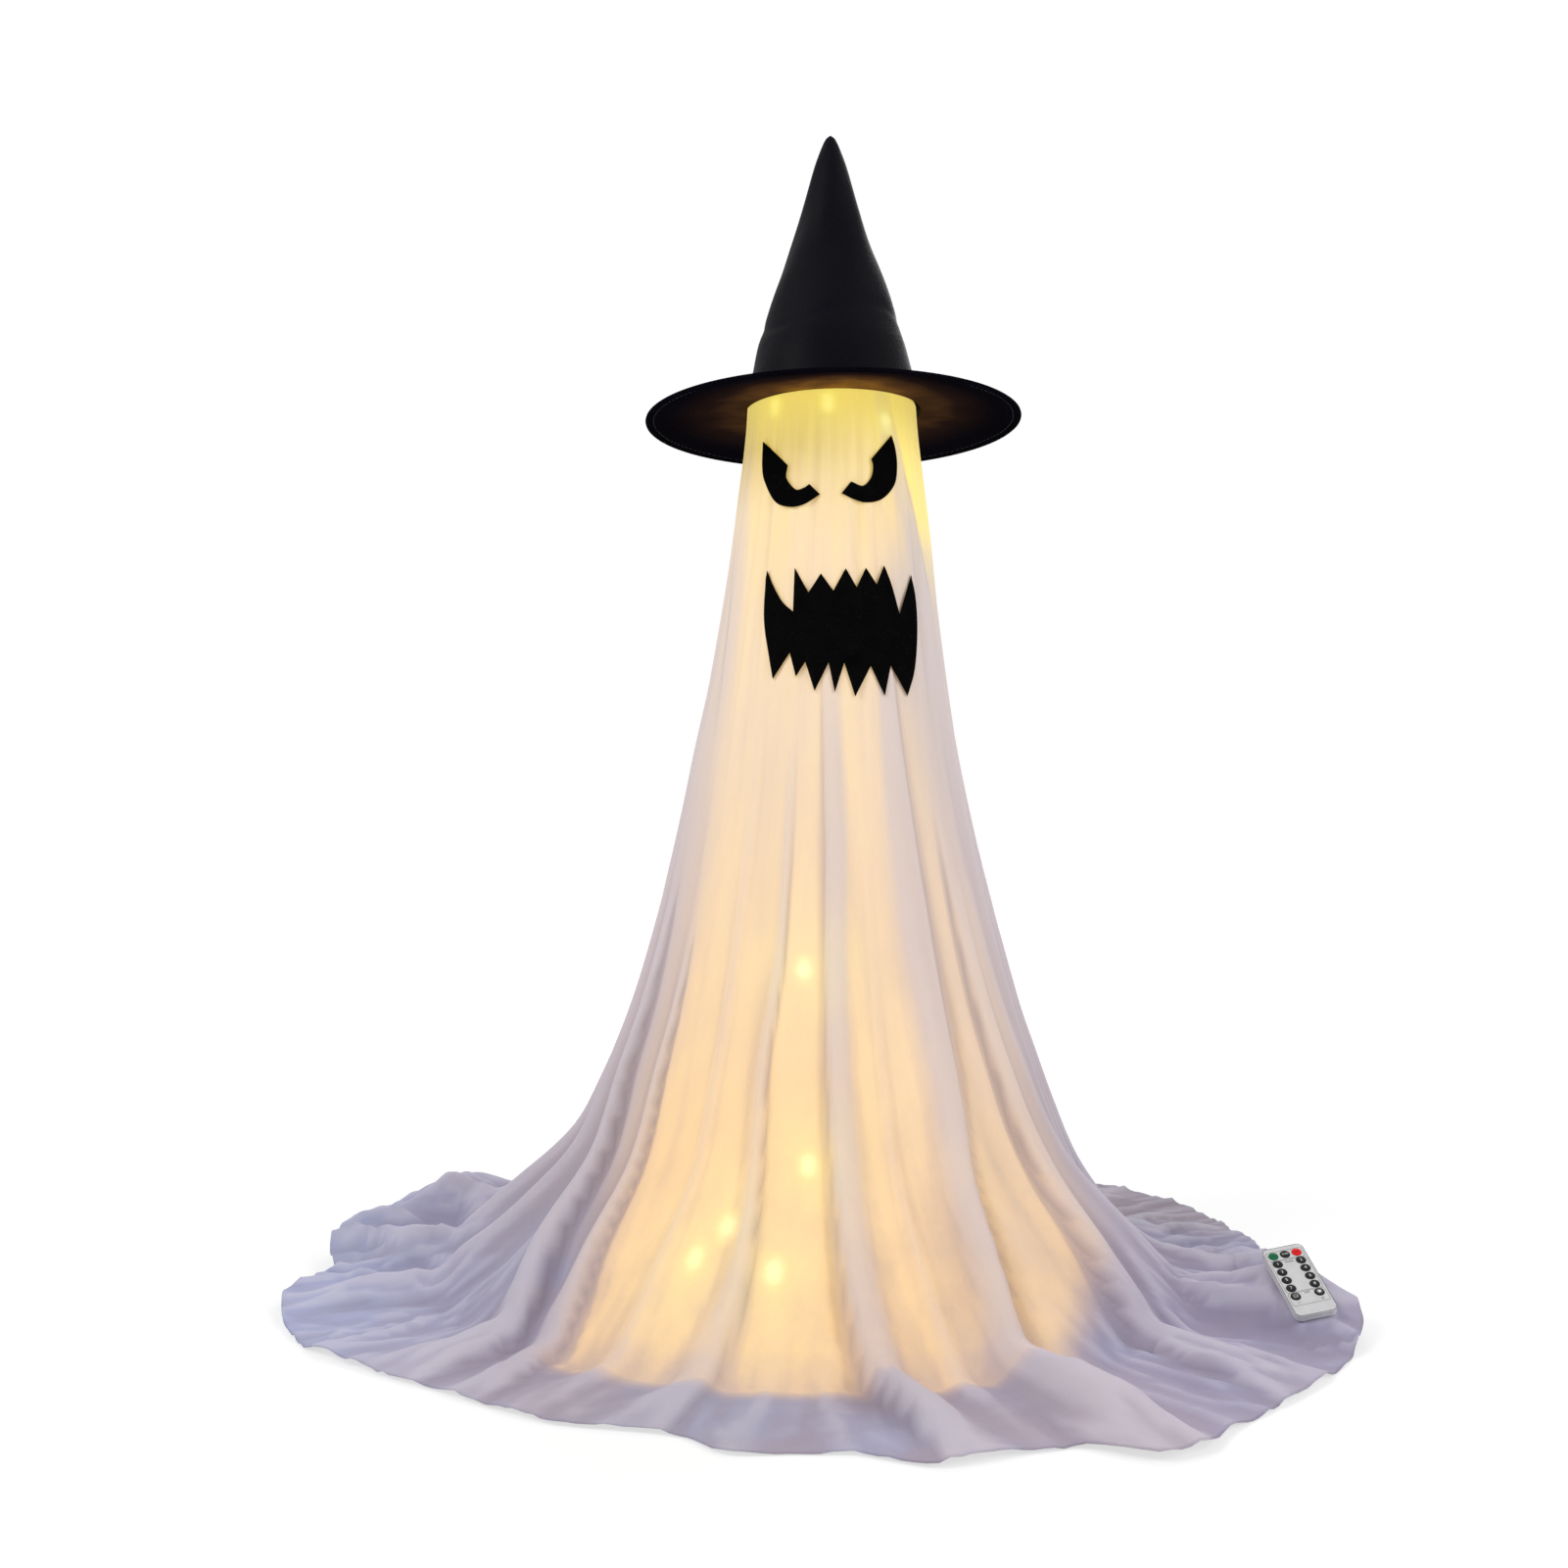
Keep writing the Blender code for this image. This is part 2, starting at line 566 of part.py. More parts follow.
def drape_samples():
    """Angles round the drape: each pleat has a foot, a crest and a foot."""
    samples = []
    for index, (angle, depth, width, hem) in enumerate(PLEATS):
        half = PLEAT_HALF_ANGLE * width
        samples.append((angle * DEG - half, 0, hem, index))
        samples.append((angle * DEG, depth, hem, index))
        samples.append((angle * DEG + half, 0, hem, index))
    return samples


def head_corner_rings():
    """The rounded edge of the head's flat top: radius, height and outward direction."""
    rings = []
    for angle in (math.pi / 2, math.pi / 4, 0):
        across = math.cos(angle)
        up = math.sin(angle)
        radius = CORNER_RADIUS_AT + HEAD_CORNER * across
        height = CORNER_HEIGHT_AT + HEAD_CORNER * up
        rings.append((radius, height, across, up))
    return rings


def drape_ring_sizes():
    """Radius, height and pleat share of each ring from the head's side down to just above the floor."""
    sizes = []
    for height, spread, pleat in DRAPE_RING_SHARES:
        radius = HEAD_RADIUS + spread * (SKIRT_FOOT_RADIUS - HEAD_RADIUS)
        sizes.append((radius, height * HEAD_TOP, pleat))
    return sizes


def cloth_rings():
    """Outer and inner points of every ring of the cloth, from the head's flat top to the hem."""
    samples = drape_samples()
    outer = []
    inner = []
    for radius, height, across, up in head_corner_rings():
        outer.append([round_point(radius, angle, height) for angle, _d, _h, _i in samples])
        inner.append([
            round_point(radius - CLOTH_THICKNESS * across, angle, height - CLOTH_THICKNESS * up)
            for angle, _d, _h, _i in samples
        ])
    sizes = [(HEAD_RADIUS, CORNER_HEIGHT_AT, 0)]
    sizes += drape_ring_sizes()
    sizes += [(SKIRT_FOOT_RADIUS, CLOTH_THICKNESS, 0)]
    for before, ring, after in zip(sizes, sizes[1:], sizes[2:]):
        slope = Vector((after[0] - before[0], after[1] - before[1])).normalized()
        across = -slope.y * CLOTH_THICKNESS
        up = slope.x * CLOTH_THICKNESS
        radius, height, pleat = ring
        outer.append([
            round_point(radius + depth * pleat * RIDGE_HEIGHT, angle, height)
            for angle, depth, _h, _i in samples
        ])
        inner.append([
            round_point(radius + depth * pleat * RIDGE_HEIGHT - across, angle, height - up)
            for angle, depth, _h, _i in samples
        ])
    for level, reach in enumerate(HEM_REACH_SHARES):
        top = []
        under = []
        for angle, depth, hem, index in samples:
            radius = SKIRT_FOOT_RADIUS + reach * (HEM_RADIUS * hem - SKIRT_FOOT_RADIUS)
            lift = depth * HEM_LIFT * (1 - reach * reach * HEM_LIFT_LOST_SHARE)
            if index == REST_PLEAT:
                shares = REST_CREST_LIFT_SHARES if depth else REST_FOOT_LIFT_SHARES
                lift = shares[level] * (REST_HEIGHT - CLOTH_THICKNESS)
            point = round_point(radius, angle, lift + CLOTH_THICKNESS)
            if index == REST_PLEAT and not (depth and level == 1):
                point = under_card(point)
            top.append(point)
            under.append(point - Vector((0, 0, CLOTH_THICKNESS)))
        outer.append(top)
        inner.append(under)
    return outer, inner


def make_cloth():
    """One closed sheet: an outer and an inner skin that meet along the hem."""
    outer, inner = cloth_rings()
    count = len(outer[0])
    points = [Vector((0, 0, HEAD_TOP)), Vector((0, 0, CLOTH_INSIDE_TOP))]
    for ring in outer + inner:
        points += ring
    levels = len(outer)

    def at(skin, level, step):
        return 2 + (skin * levels + level) * count + step % count

    faces = []
    for step in range(count):
        faces.append([0, at(0, 0, step), at(0, 0, step + 1)])
        faces.append([1, at(1, 0, step + 1), at(1, 0, step)])
        hem = levels - 1
        faces.append([at(0, hem, step), at(1, hem, step), at(1, hem, step + 1), at(0, hem, step + 1)])
        for level in range(levels - 1):
            faces.append([
                at(0, level, step), at(0, level + 1, step),
                at(0, level + 1, step + 1), at(0, level, step + 1),
            ])
            faces.append([
                at(1, level, step + 1), at(1, level + 1, step + 1),
                at(1, level + 1, step), at(1, level, step),
            ])
    place("ghost_cloth", mesh_from("ghost_cloth", points, faces), "ghost_cloth")


def head_outline():
    """Radius and height down the head and chest, where the face lies."""
    rings = drape_ring_sizes()[:FACE_RINGS]
    return [(HEAD_RADIUS, CORNER_HEIGHT_AT)] + [(radius, height) for radius, height, _pleat in rings]


def make_face():
    """Each felt piece is its outline cut from a thin skin that follows the front of the drape."""
    side = head_outline()
    near = FACE_CLEAR
    far = FACE_CLEAR + FACE_THICKNESS
    profile = [(r + near, z) for r, z in side] + [(r + far, z) for r, z in reversed(side)]
    features = (
        ("left_eye", LEFT_EYE_SHARES, LEFT_EYE_SIDE, LEFT_EYE_FOOT, LEFT_EYE_WIDTH, EYE_HEIGHT),
        ("right_eye", RIGHT_EYE_SHARES, RIGHT_EYE_SIDE, RIGHT_EYE_FOOT, RIGHT_EYE_WIDTH, EYE_HEIGHT),
        ("mouth", MOUTH_SHARES, MOUTH_SIDE, MOUTH_FOOT, MOUTH_WIDTH, MOUTH_HEIGHT),
    )
    stand_up = Matrix.Rotation(math.pi / 2, 4, "X")
    for name, shares, left, foot, width, height in features:
        outline = [(left + x * width, foot + z * height) for x, z in shares]
        slab = stacked_mesh(name, [(outline, 0), (outline, 2 * HEAD_RADIUS)])
        piece = place(name, slab, "black_felt", turn=stand_up)
        skin = place(name + "_skin", turned_mesh(name + "_skin", profile, FACE_STEPS), None)
        cut(piece, skin, "INTERSECT")


def make_hat():
    """The cone, the brim and the wire in the brim's edge, about the middle of the hat's mouth."""
    mouth = empty("hat", Matrix.Translation((HAT_SHIFT, 0, HAT_MOUTH)) @ Matrix.Rotation(HAT_TILT, 4, "Y"))
    foot = BRIM_SKIN + SEAT_GAP
    inside_height = HAT_CONE_HEIGHT - HAT_WALL
    inside_tip = HAT_TIP_RADIUS / 2
    outside = HAT_MOUTH_RADIUS + HAT_WALL
    narrowing = HAT_TIP_RADIUS - outside
    rise = HAT_CONE_HEIGHT - HAT_TIP_RADIUS - foot
    swell = []
    for up, full in HAT_FULL_SHARES:
        swell.append((outside + up * narrowing + full * HAT_FULLNESS, foot + up * rise))
    lining = [(radius - HAT_WALL, height) for radius, height in reversed(swell)]
    profile = [(HAT_MOUTH_RADIUS, foot), (outside, foot)]
    profile += swell
    profile += [
        (HAT_TIP_RADIUS, HAT_CONE_HEIGHT - HAT_TIP_RADIUS), (0, HAT_CONE_HEIGHT),
        (0, inside_height - HAT_TIP_RADIUS), (inside_tip, inside_height - 2 * HAT_TIP_RADIUS),
    ]
    profile += lining
    place("hat_cone", turned_mesh("hat_cone", profile, HAT_STEPS), "hat_cloth", mouth)
    channel = BRIM_WIRE_RADIUS + SEAT_GAP
    edge = channel + BRIM_SKIN
    edge_radius = BRIM_RADIUS - edge
    edge_height = -BRIM_DROOP
    reach = edge_radius - HAT_MOUTH_RADIUS
    drop = edge_height + channel
    under = [(HAT_MOUTH_RADIUS, 0)]
    under += [(HAT_MOUTH_RADIUS + x * reach, z * drop) for x, z in BRIM_BEND_SHARES]
    arc = [math.pi / 2 - math.pi * step / BRIM_ROLL_STEPS for step in range(BRIM_ROLL_STEPS + 1)]
    inner = [(edge_radius + channel * math.cos(a), edge_height + channel * math.sin(a)) for a in arc]
    outer = [(edge_radius + edge * math.cos(a), edge_height + edge * math.sin(a)) for a in reversed(arc)]
    over = [(r, z + BRIM_SKIN) for r, z in reversed(under)]
    brim = turned_mesh("hat_brim", under + inner + outer + over, HAT_STEPS)
    place("hat_brim", brim, "hat_cloth", mouth)
    place("brim_wire", ring_mesh("brim_wire", edge_radius, BRIM_WIRE_RADIUS), "zinc_steel", mouth,
          spot=(0, 0, edge_height))


def smooth_curve(points, steps=CURVE_STEPS):
    """A Catmull-Rom curve through the points."""
    padded = [points[0] * 2 - points[1]] + points + [points[-1] * 2 - points[-2]]
    curve = []
    for p0, p1, p2, p3 in zip(padded, padded[1:], padded[2:], padded[3:]):
        for step in range(steps):
            t = step / steps
            curve.append(0.5 * (
                2 * p1 + (p2 - p0) * t + (2 * p0 - 5 * p1 + 4 * p2 - p3) * t * t
                + (3 * p1 - p0 - 3 * p2 + p3) * t * t * t
            ))
    curve.append(points[-1])
    return curve


def box_matrix():
    return Matrix.Rotation(BOX_TURN, 4, "Z") @ Matrix.Translation((BOX_PLACE, 0, BASE_TOP + SEAT_GAP))


def wire_route():
    """From the gland over the base plate, up the pole in loose turns, and round under the head's hoop."""
    gland_end = Vector((-BOX_LENGTH / 2 - GLAND_LENGTH + BOX_WALL, -GLAND_ASIDE, GLAND_HEIGHT))
    leave = box_matrix() @ gland_end
    straight = (box_matrix() @ (gland_end + Vector((-WIRE_BEND, 0, 0)))) - leave
    lying = BASE_TOP + LED_RADIUS + SEAT_GAP
    tail = [leave + straight.normalized() * SEAT_GAP, leave + straight]
    tail += [Vector((x * MM, y * MM, lying + z * MM)) for x, y, z in WIRE_FLOOR_ROUTE]
    wind_radius = POLE_RADIUS + LED_RADIUS + SEAT_GAP
    wind_end = POLE_TOP - WIND_TOP_ROOM
    wind = []
    total = WIND_TURNS * WIND_POINTS
    for step in range(total + 1):
        turned = step / WIND_POINTS
        angle = math.pi / 2 - 2 * math.pi * turned
        loose = WIND_LOOSENESS * (1 - math.cos(angle - WIND_LOOSE_TURN)) / 2
        radius = wind_radius + loose
        height = WIND_START + (wind_end - WIND_START) * step / total
        wind.append(Vector((radius * math.cos(angle), radius * math.sin(angle), height)))
    under_ribs = HOOP_HEIGHT - RIB_RADIUS - LED_RADIUS - SEAT_GAP
    crown = []
    crown_steps = round(CROWN_TURNS * WIND_POINTS)
    for step in range(crown_steps + 1):
        angle = CROWN_START - 2 * math.pi * step / WIND_POINTS
        radius = CROWN_RADIUS - CROWN_DRAWN_IN * step / crown_steps
        crown.append(Vector((radius * math.cos(angle), radius * math.sin(angle), under_ribs)))
    rise = (wind[-1] + crown[0]) / 2
    rise.z = (wind[-1].z + 2 * crown[0].z) / 3
    side_step = Vector((WIRE_BEND, WIND_LOOSENESS, 0))
    joining = smooth_curve([wind[-1], rise + side_step, crown[0]], WIRE_RISE_STEPS)
    return smooth_curve(tail + wind[:1], WIRE_FLOOR_STEPS)[:-1] + wind + joining[1:-1] + crown


def along_route(route):
    """Walked distance at each point of the route."""
    walked = [0]
    for here, after in zip(route, route[1:]):
        walked.append(walked[-1] + (after - here).length)
    return walked


def point_along(route, walked, distance):
    for index in range(1, len(route)):
        if walked[index] >= distance:
            part = (distance - walked[index - 1]) / (walked[index] - walked[index - 1])
            return route[index - 1].lerp(route[index], part)
    return route[-1]


def wire_points():
    """Points along the wire with their radius: plain wire, swelling at each light."""
    route = wire_route()
    walked = along_route(route)
    half = LED_LENGTH / 2
    lights = []
    spot = LED_FIRST
    while spot < walked[-1] - LED_LENGTH:
        lights.append(spot)
        spot += LED_SPACING
    stations = []
    last = -WIRE_STEP
    for distance in walked[:-1]:
        clear = all(abs(distance - light) > half + 2 * LED_NECK for light in lights)
        if clear and distance - last >= WIRE_STEP / 2:
            stations.append((distance, WIRE_RADIUS))
            last = distance
    stations.append((walked[-1], WIRE_RADIUS))
    for light in lights:
        stations += [
            (light - half - LED_NECK, WIRE_RADIUS), (light - half, LED_RADIUS),
            (light + half, LED_RADIUS), (light + half + LED_NECK, WIRE_RADIUS),
        ]
    stations.sort()
    return [(point_along(route, walked, distance), radius) for distance, radius in stations], lights


def print_least_gap(points):
    """Least gap between parts of the wire that are more than a few light lengths apart along it."""
    walked = along_route([point for point, _radius in points])
    least = None
    for first in range(len(points)):
        for second in range(first + 1, len(points)):
            if walked[second] - walked[first] < WIRE_NEAR_LIGHTS * LED_LENGTH:
                continue
            apart = (points[first][0] - points[second][0]).length
            gap = apart - points[first][1] - points[second][1]
            if least is None or gap < least:
                least = gap
    print(f"light string: {walked[-1]:.3f} m long, least gap to itself {least / MM:.2f} mm")


def make_lights():
    points, lights = wire_points()
    curve = bpy.data.curves.new("light_string", "CURVE")
    curve.dimensions = "3D"
    curve.bevel_depth = WIRE_RADIUS
    curve.bevel_resolution = 1
    curve.use_fill_caps = True
    spline = curve.splines.new("POLY")
    spline.points.add(len(points) - 1)
    for target, (point, radius) in zip(spline.points, points):
        target.co = (*point, 1)
        target.radius = radius / WIRE_RADIUS
    place("light_string", curve, "light_string")
    print(f"lights on the string: {len(lights)}")
    print_least_gap(points)


def box_levels():
    """Heights inside the battery box: the cover's slot, and the middle of the cells."""
    slot_low = BOX_HEIGHT - BOX_COVER_DEPTH
    cell_middle = BOX_FLOOR + SEAT_GAP + CELL_RADIUS
    return slot_low, cell_middle


def make_battery_box():
    frame = empty("battery_box", box_matrix())
    slot_low, cell_middle = box_levels()
    half = BOX_LENGTH / 2
    side = BOX_WIDTH / 2
    inside = side - BOX_WALL
    bay = -half + BOX_BAY_START
    lengthwise = rounded_outline(BOX_WIDTH, -half, half, BOX_CORNER, BOX_CORNER_STEPS)
    outline = [(y, -x) for x, y in lengthwise]
    case = place("battery_case", stacked_mesh("battery_case", [(outline, 0), (outline, BOX_HEIGHT)]),
                 "black_plastic", frame)
    over = BOX_HEIGHT + CUT_OVERRUN
    slot_top = slot_low + BOX_COVER_THICKNESS + 2 * SLIDE_GAP
    tongue = inside + BOX_COVER_TONGUE
    partition = bay + BOX_PARTITION
    cutters = (
        ("bay_cut", (-half + BOX_WALL, -inside, BOX_FLOOR), (bay, inside, over)),
        ("cell_cut", (partition, -inside, BOX_FLOOR), (half - BOX_WALL, inside, over)),
        ("slot_cut", (partition, -tongue, slot_low), (half + CUT_OVERRUN, tongue, slot_top)),
        ("mouth_cut", (partition, -inside, slot_low), (half + CUT_OVERRUN, inside, over)),
    )
    for name, low, high in cutters:
        cut(case, place(name, box_mesh(name, low, high), None, frame))
    hole = GLAND_RADIUS + SLIDE_GAP
    towards_pole = Matrix.Rotation(-math.pi / 2, 4, "Y")
    gland_spot = (-half, -GLAND_ASIDE, GLAND_HEIGHT)
    drill = turned_mesh("gland_hole", rod_profile(hole, -BOX_WALL - CUT_OVERRUN, CUT_OVERRUN), SMALL_STEPS)
    cut(case, place("gland_hole", drill, None, frame, spot=gland_spot, turn=towards_pole))
    profile = [
        (GLAND_BORE, -BOX_WALL), (GLAND_RADIUS, -BOX_WALL), (GLAND_RADIUS, SEAT_GAP),
        (GLAND_RADIUS + BOX_COVER_TONGUE, SEAT_GAP), (GLAND_RADIUS + BOX_COVER_TONGUE, 2 * GLAND_BORE),
        (GLAND_BORE * 2, GLAND_LENGTH - BOX_WALL), (GLAND_BORE, GLAND_LENGTH - BOX_WALL),
    ]
    place("wire_gland", turned_mesh("wire_gland", profile, SMALL_STEPS), "black_plastic", frame,
          spot=gland_spot, turn=towards_pole)
    make_box_cover(frame, partition, half, inside, tongue, slot_low)
    make_box_inside(frame, partition, half, inside, cell_middle)
    make_box_lid(frame, half, inside, bay)


def make_box_cover(frame, start, half, inside, tongue, slot_low):
    """A cover that slides out of its grooves away from the pole."""
    low = slot_low + SLIDE_GAP
    top = low + BOX_COVER_THICKNESS
    wide = tongue - SLIDE_GAP
    narrow = inside - SLIDE_GAP
    near = start + SLIDE_GAP
    outline = [(-wide, low), (wide, low), (wide, top), (narrow, top), (narrow, BOX_HEIGHT),
               (-narrow, BOX_HEIGHT), (-narrow, top), (-wide, top)]
    points = [(near, y, z) for y, z in outline] + [(half, y, z) for y, z in outline]
    count = len(outline)
    faces = [list(range(count)), list(range(count, 2 * count))]
    faces += [[i, (i + 1) % count, count + (i + 1) % count, count + i] for i in range(count)]
    place("battery_cover", mesh_from("battery_cover", points, faces), "black_plastic", frame)


def make_box_inside(frame, start, half, inside, cell_middle):
    """Three cells side by side between two contact strips, and the board that reads the remote."""
    high = cell_middle + CELL_RADIUS
    end = half - BOX_WALL
    strips = (
        ("contact_minus", start + SEAT_GAP),
        ("contact_plus", end - SEAT_GAP - CONTACT_THICKNESS),
    )
    for name, x in strips:
        low_corner = (x, -inside + SEAT_GAP, BOX_FLOOR + SEAT_GAP)
        high_corner = (x + CONTACT_THICKNESS, inside - SEAT_GAP, high)
        place(name, box_mesh(name, low_corner, high_corner), "contact_metal", frame)
    foot = end - 2 * SEAT_GAP - CONTACT_THICKNESS - CELL_LENGTH - CELL_NUB_HEIGHT
    profile = [
        (0, 0), (CELL_RADIUS, 0), (CELL_RADIUS, CELL_LENGTH), (CELL_NUB_RADIUS, CELL_LENGTH),
        (CELL_NUB_RADIUS, CELL_LENGTH + CELL_NUB_HEIGHT), (0, CELL_LENGTH + CELL_NUB_HEIGHT),
    ]
    cell = turned_mesh("cell", profile, SMALL_STEPS)
    pitch = 2 * (inside - SEAT_GAP - CELL_RADIUS) / (CELL_COUNT - 1)
    for index in range(CELL_COUNT):
        y = (index - (CELL_COUNT - 1) / 2) * pitch
        place(f"cell_{index + 1}", cell, "cell_wrap", frame, spot=(foot, y, cell_middle),
              turn=Matrix.Rotation(math.pi / 2, 4, "Y"))


def make_box_lid(frame, half, inside, bay):
    """The fixed lid over the board, with the mode button and the receiver standing through it."""
    left = -half + BOX_WALL + SEAT_GAP
    right = bay - SEAT_GAP
    middle = (left + right) / 2
    board_low = BOX_HEIGHT / 2
    board_top = board_low + BOX_BOARD_THICKNESS
    lid_low, _cell_middle = box_levels()
    place("control_board", box_mesh("control_board", (left, -inside + SEAT_GAP, board_low),
          (right, inside - SEAT_GAP, board_top)), "circuit_board", frame)
    lid = place("receiver_lid", box_mesh("receiver_lid", (left, -inside + SEAT_GAP, lid_low),
                (right, inside - SEAT_GAP, BOX_HEIGHT)), "black_plastic", frame)
    foot = board_top + MODE_BUTTON_TRAVEL + BUTTON_STOP_GAP
    flange = MODE_BUTTON_RADIUS + MODE_BUTTON_FLANGE
    profile = [
        (0, foot), (flange, foot), (flange, lid_low - SEAT_GAP), (MODE_BUTTON_RADIUS, lid_low - SEAT_GAP),
        (MODE_BUTTON_RADIUS, BOX_HEIGHT + MODE_BUTTON_PROUD), (0, BOX_HEIGHT + MODE_BUTTON_PROUD),
    ]
    place("mode_button", turned_mesh("mode_button", profile, MODE_BUTTON_STEPS), "white_plastic", frame,
          spot=(middle, 0, 0))
    low = lid_low - CUT_OVERRUN
    high = BOX_HEIGHT + CUT_OVERRUN
    hole = rod_profile(MODE_BUTTON_RADIUS + SLIDE_GAP, low, high)
    drill = turned_mesh("mode_hole", hole, MODE_BUTTON_STEPS)
    cut(lid, place("mode_hole", drill, None, frame, spot=(middle, 0, 0)))
    hole = rod_profile(RECEIVER_RADIUS + SLIDE_GAP, low, high)
    drill = turned_mesh("receiver_hole", hole, SMALL_STEPS)
    cut(lid, place("receiver_hole", drill, None, frame, spot=(middle, RECEIVER_ASIDE, 0)))
    dome = RECEIVER_RADIUS * math.cos(math.pi / 4)
    foot = board_top + SEAT_GAP
    shoulder = BOX_HEIGHT - RECEIVER_RADIUS
    profile = [(0, foot), (RECEIVER_RADIUS, foot), (RECEIVER_RADIUS, shoulder), (dome, shoulder + dome),
               (0, BOX_HEIGHT)]
    place("infrared_receiver", turned_mesh("infrared_receiver", profile, SMALL_STEPS), "dark_lens", frame,
          spot=(middle, RECEIVER_ASIDE, 0))


def card_levels():
    """Heights through the remote, from its back: the board, the buttons' flanges and its face."""
    board_low = CARD_FLOOR + SEAT_GAP
    board_top = board_low + CARD_BOARD_THICKNESS
    flange_low = board_top + BUTTON_TRAVEL + BUTTON_STOP_GAP
    face_low = CARD_SIDE_HEIGHT + SEAT_GAP
    face_top = face_low + CARD_FACE_THICKNESS
    return board_low, board_top, flange_low, face_low, face_top


def button_places():
    """Each button's name, finish and place on the face."""
    top = CARD_LENGTH - BUTTON_TOP_MARGIN
    places = [
        ("button_on", "button_green", -BUTTON_COLUMN, top),
        ("button_timer", "button_black", 0, top),
        ("button_off", "button_red", BUTTON_COLUMN, top),
    ]
    for number in range(1, MODE_COUNT + 1):
        row = (number + 1) // 2
        column = -BUTTON_COLUMN if number % 2 else BUTTON_COLUMN
        places.append((f"button_{number}", "button_black", column, top - row * BUTTON_ROW_PITCH))
    last = top - (MODE_COUNT // 2 + 1) * BUTTON_ROW_PITCH
    places.append(("button_dimmer", "button_black", -BUTTON_COLUMN, last))
    places.append(("button_brighter", "button_black", BUTTON_COLUMN, last))
    return places


def tray_sizes():
    """Outer radius of the tray's nose and the middle of the coin cell along the remote."""
    nose = COIN_RADIUS + SLIDE_GAP + TRAY_RIM
    coin = CARD_WALL + COIN_RADIUS + SLIDE_GAP
    return nose, coin


def make_card_remote():
    frame = empty("card_remote", card_matrix())
    board_low, board_top, flange_low, face_low, face_top = card_levels()
    nose, coin = tray_sizes()
    outline = rounded_outline(CARD_WIDTH, 0, CARD_LENGTH, CARD_CORNER)
    inset = rounded_outline(CARD_WIDTH - 2 * CARD_EDGE, CARD_EDGE, CARD_LENGTH - CARD_EDGE,
                            CARD_CORNER - CARD_EDGE)
    back = place("card_back", stacked_mesh("card_back", [
        (inset, 0), (outline, CARD_EDGE), (outline, CARD_SIDE_HEIGHT)]), "card_grey", frame)
    hollow = rounded_outline(CARD_WIDTH - 2 * CARD_WALL, CARD_WALL, CARD_LENGTH - CARD_WALL,
                             CARD_CORNER - CARD_WALL)
    over = CARD_SIDE_HEIGHT + CUT_OVERRUN
    cut(back, place("card_hollow", stacked_mesh("card_hollow", [(hollow, CARD_FLOOR), (hollow, over)]),
                    None, frame))
    slot = nose + SLIDE_GAP
    cut(back, place("tray_slot", box_mesh("tray_slot", (-slot, -CUT_OVERRUN, CARD_FLOOR),
                    (slot, CARD_WALL + CUT_OVERRUN, over)), None, frame))
    led = CARD_LED_RADIUS + SLIDE_GAP
    led_height = board_top + SEAT_GAP + CARD_LED_RADIUS
    cut(back, place("lens_slot", box_mesh("lens_slot",
                    (-led, CARD_LENGTH - CARD_WALL - CUT_OVERRUN, board_top),
                    (led, CARD_LENGTH + CUT_OVERRUN, over)), None, frame))
    face = place("card_face", stacked_mesh("card_face", [
        (outline, face_low), (outline, face_top - CARD_EDGE), (inset, face_top)]), "card_grey", frame)
    make_buttons(frame, face, flange_low, face_low, face_top)
    make_card_inside(frame, board_low, board_top, nose, coin)
    lens_start = CARD_LENGTH + CARD_LED_PROUD - CARD_LED_LENGTH
    dome = CARD_LED_RADIUS * math.cos(math.pi / 4)
    straight = CARD_LED_LENGTH - CARD_LED_RADIUS
    profile = [(0, 0), (CARD_LED_RADIUS, 0), (CARD_LED_RADIUS, straight), (dome, straight + dome),
               (0, CARD_LED_LENGTH)]
    place("infrared_lamp", turned_mesh("infrared_lamp", profile, PIN_STEPS), "dark_lens", frame,
          spot=(0, lens_start, led_height), turn=Matrix.Rotation(-math.pi / 2, 4, "X"))


def make_buttons(frame, face, flange_low, face_low, face_top):
    shoulder = face_low - SEAT_GAP
    rim = face_top + BUTTON_PROUD
    profile = [
        (0, flange_low), (BUTTON_FLANGE_RADIUS, flange_low), (BUTTON_FLANGE_RADIUS, shoulder),
        (BUTTON_RADIUS, shoulder), (BUTTON_RADIUS, rim),
        (BUTTON_RADIUS * BUTTON_SHOULDER_RADIUS_SHARE, rim + BUTTON_DOME * BUTTON_SHOULDER_HEIGHT_SHARE),
        (0, rim + BUTTON_DOME),
    ]
    mesh = turned_mesh("button", profile, SMALL_STEPS)
    hole_radius = BUTTON_RADIUS + BUTTON_HOLE_CLEARANCE
    hole = rod_profile(hole_radius, face_low - CUT_OVERRUN, face_top + CUT_OVERRUN)
    for name, finish, x, y in button_places():
        own = mesh.copy()
        place(name, own, finish, frame, spot=(x, y, 0))
        drill = turned_mesh(name + "_hole", hole, SMALL_STEPS)
        cut(face, place(name + "_hole", drill, None, frame, spot=(x, y, 0)))


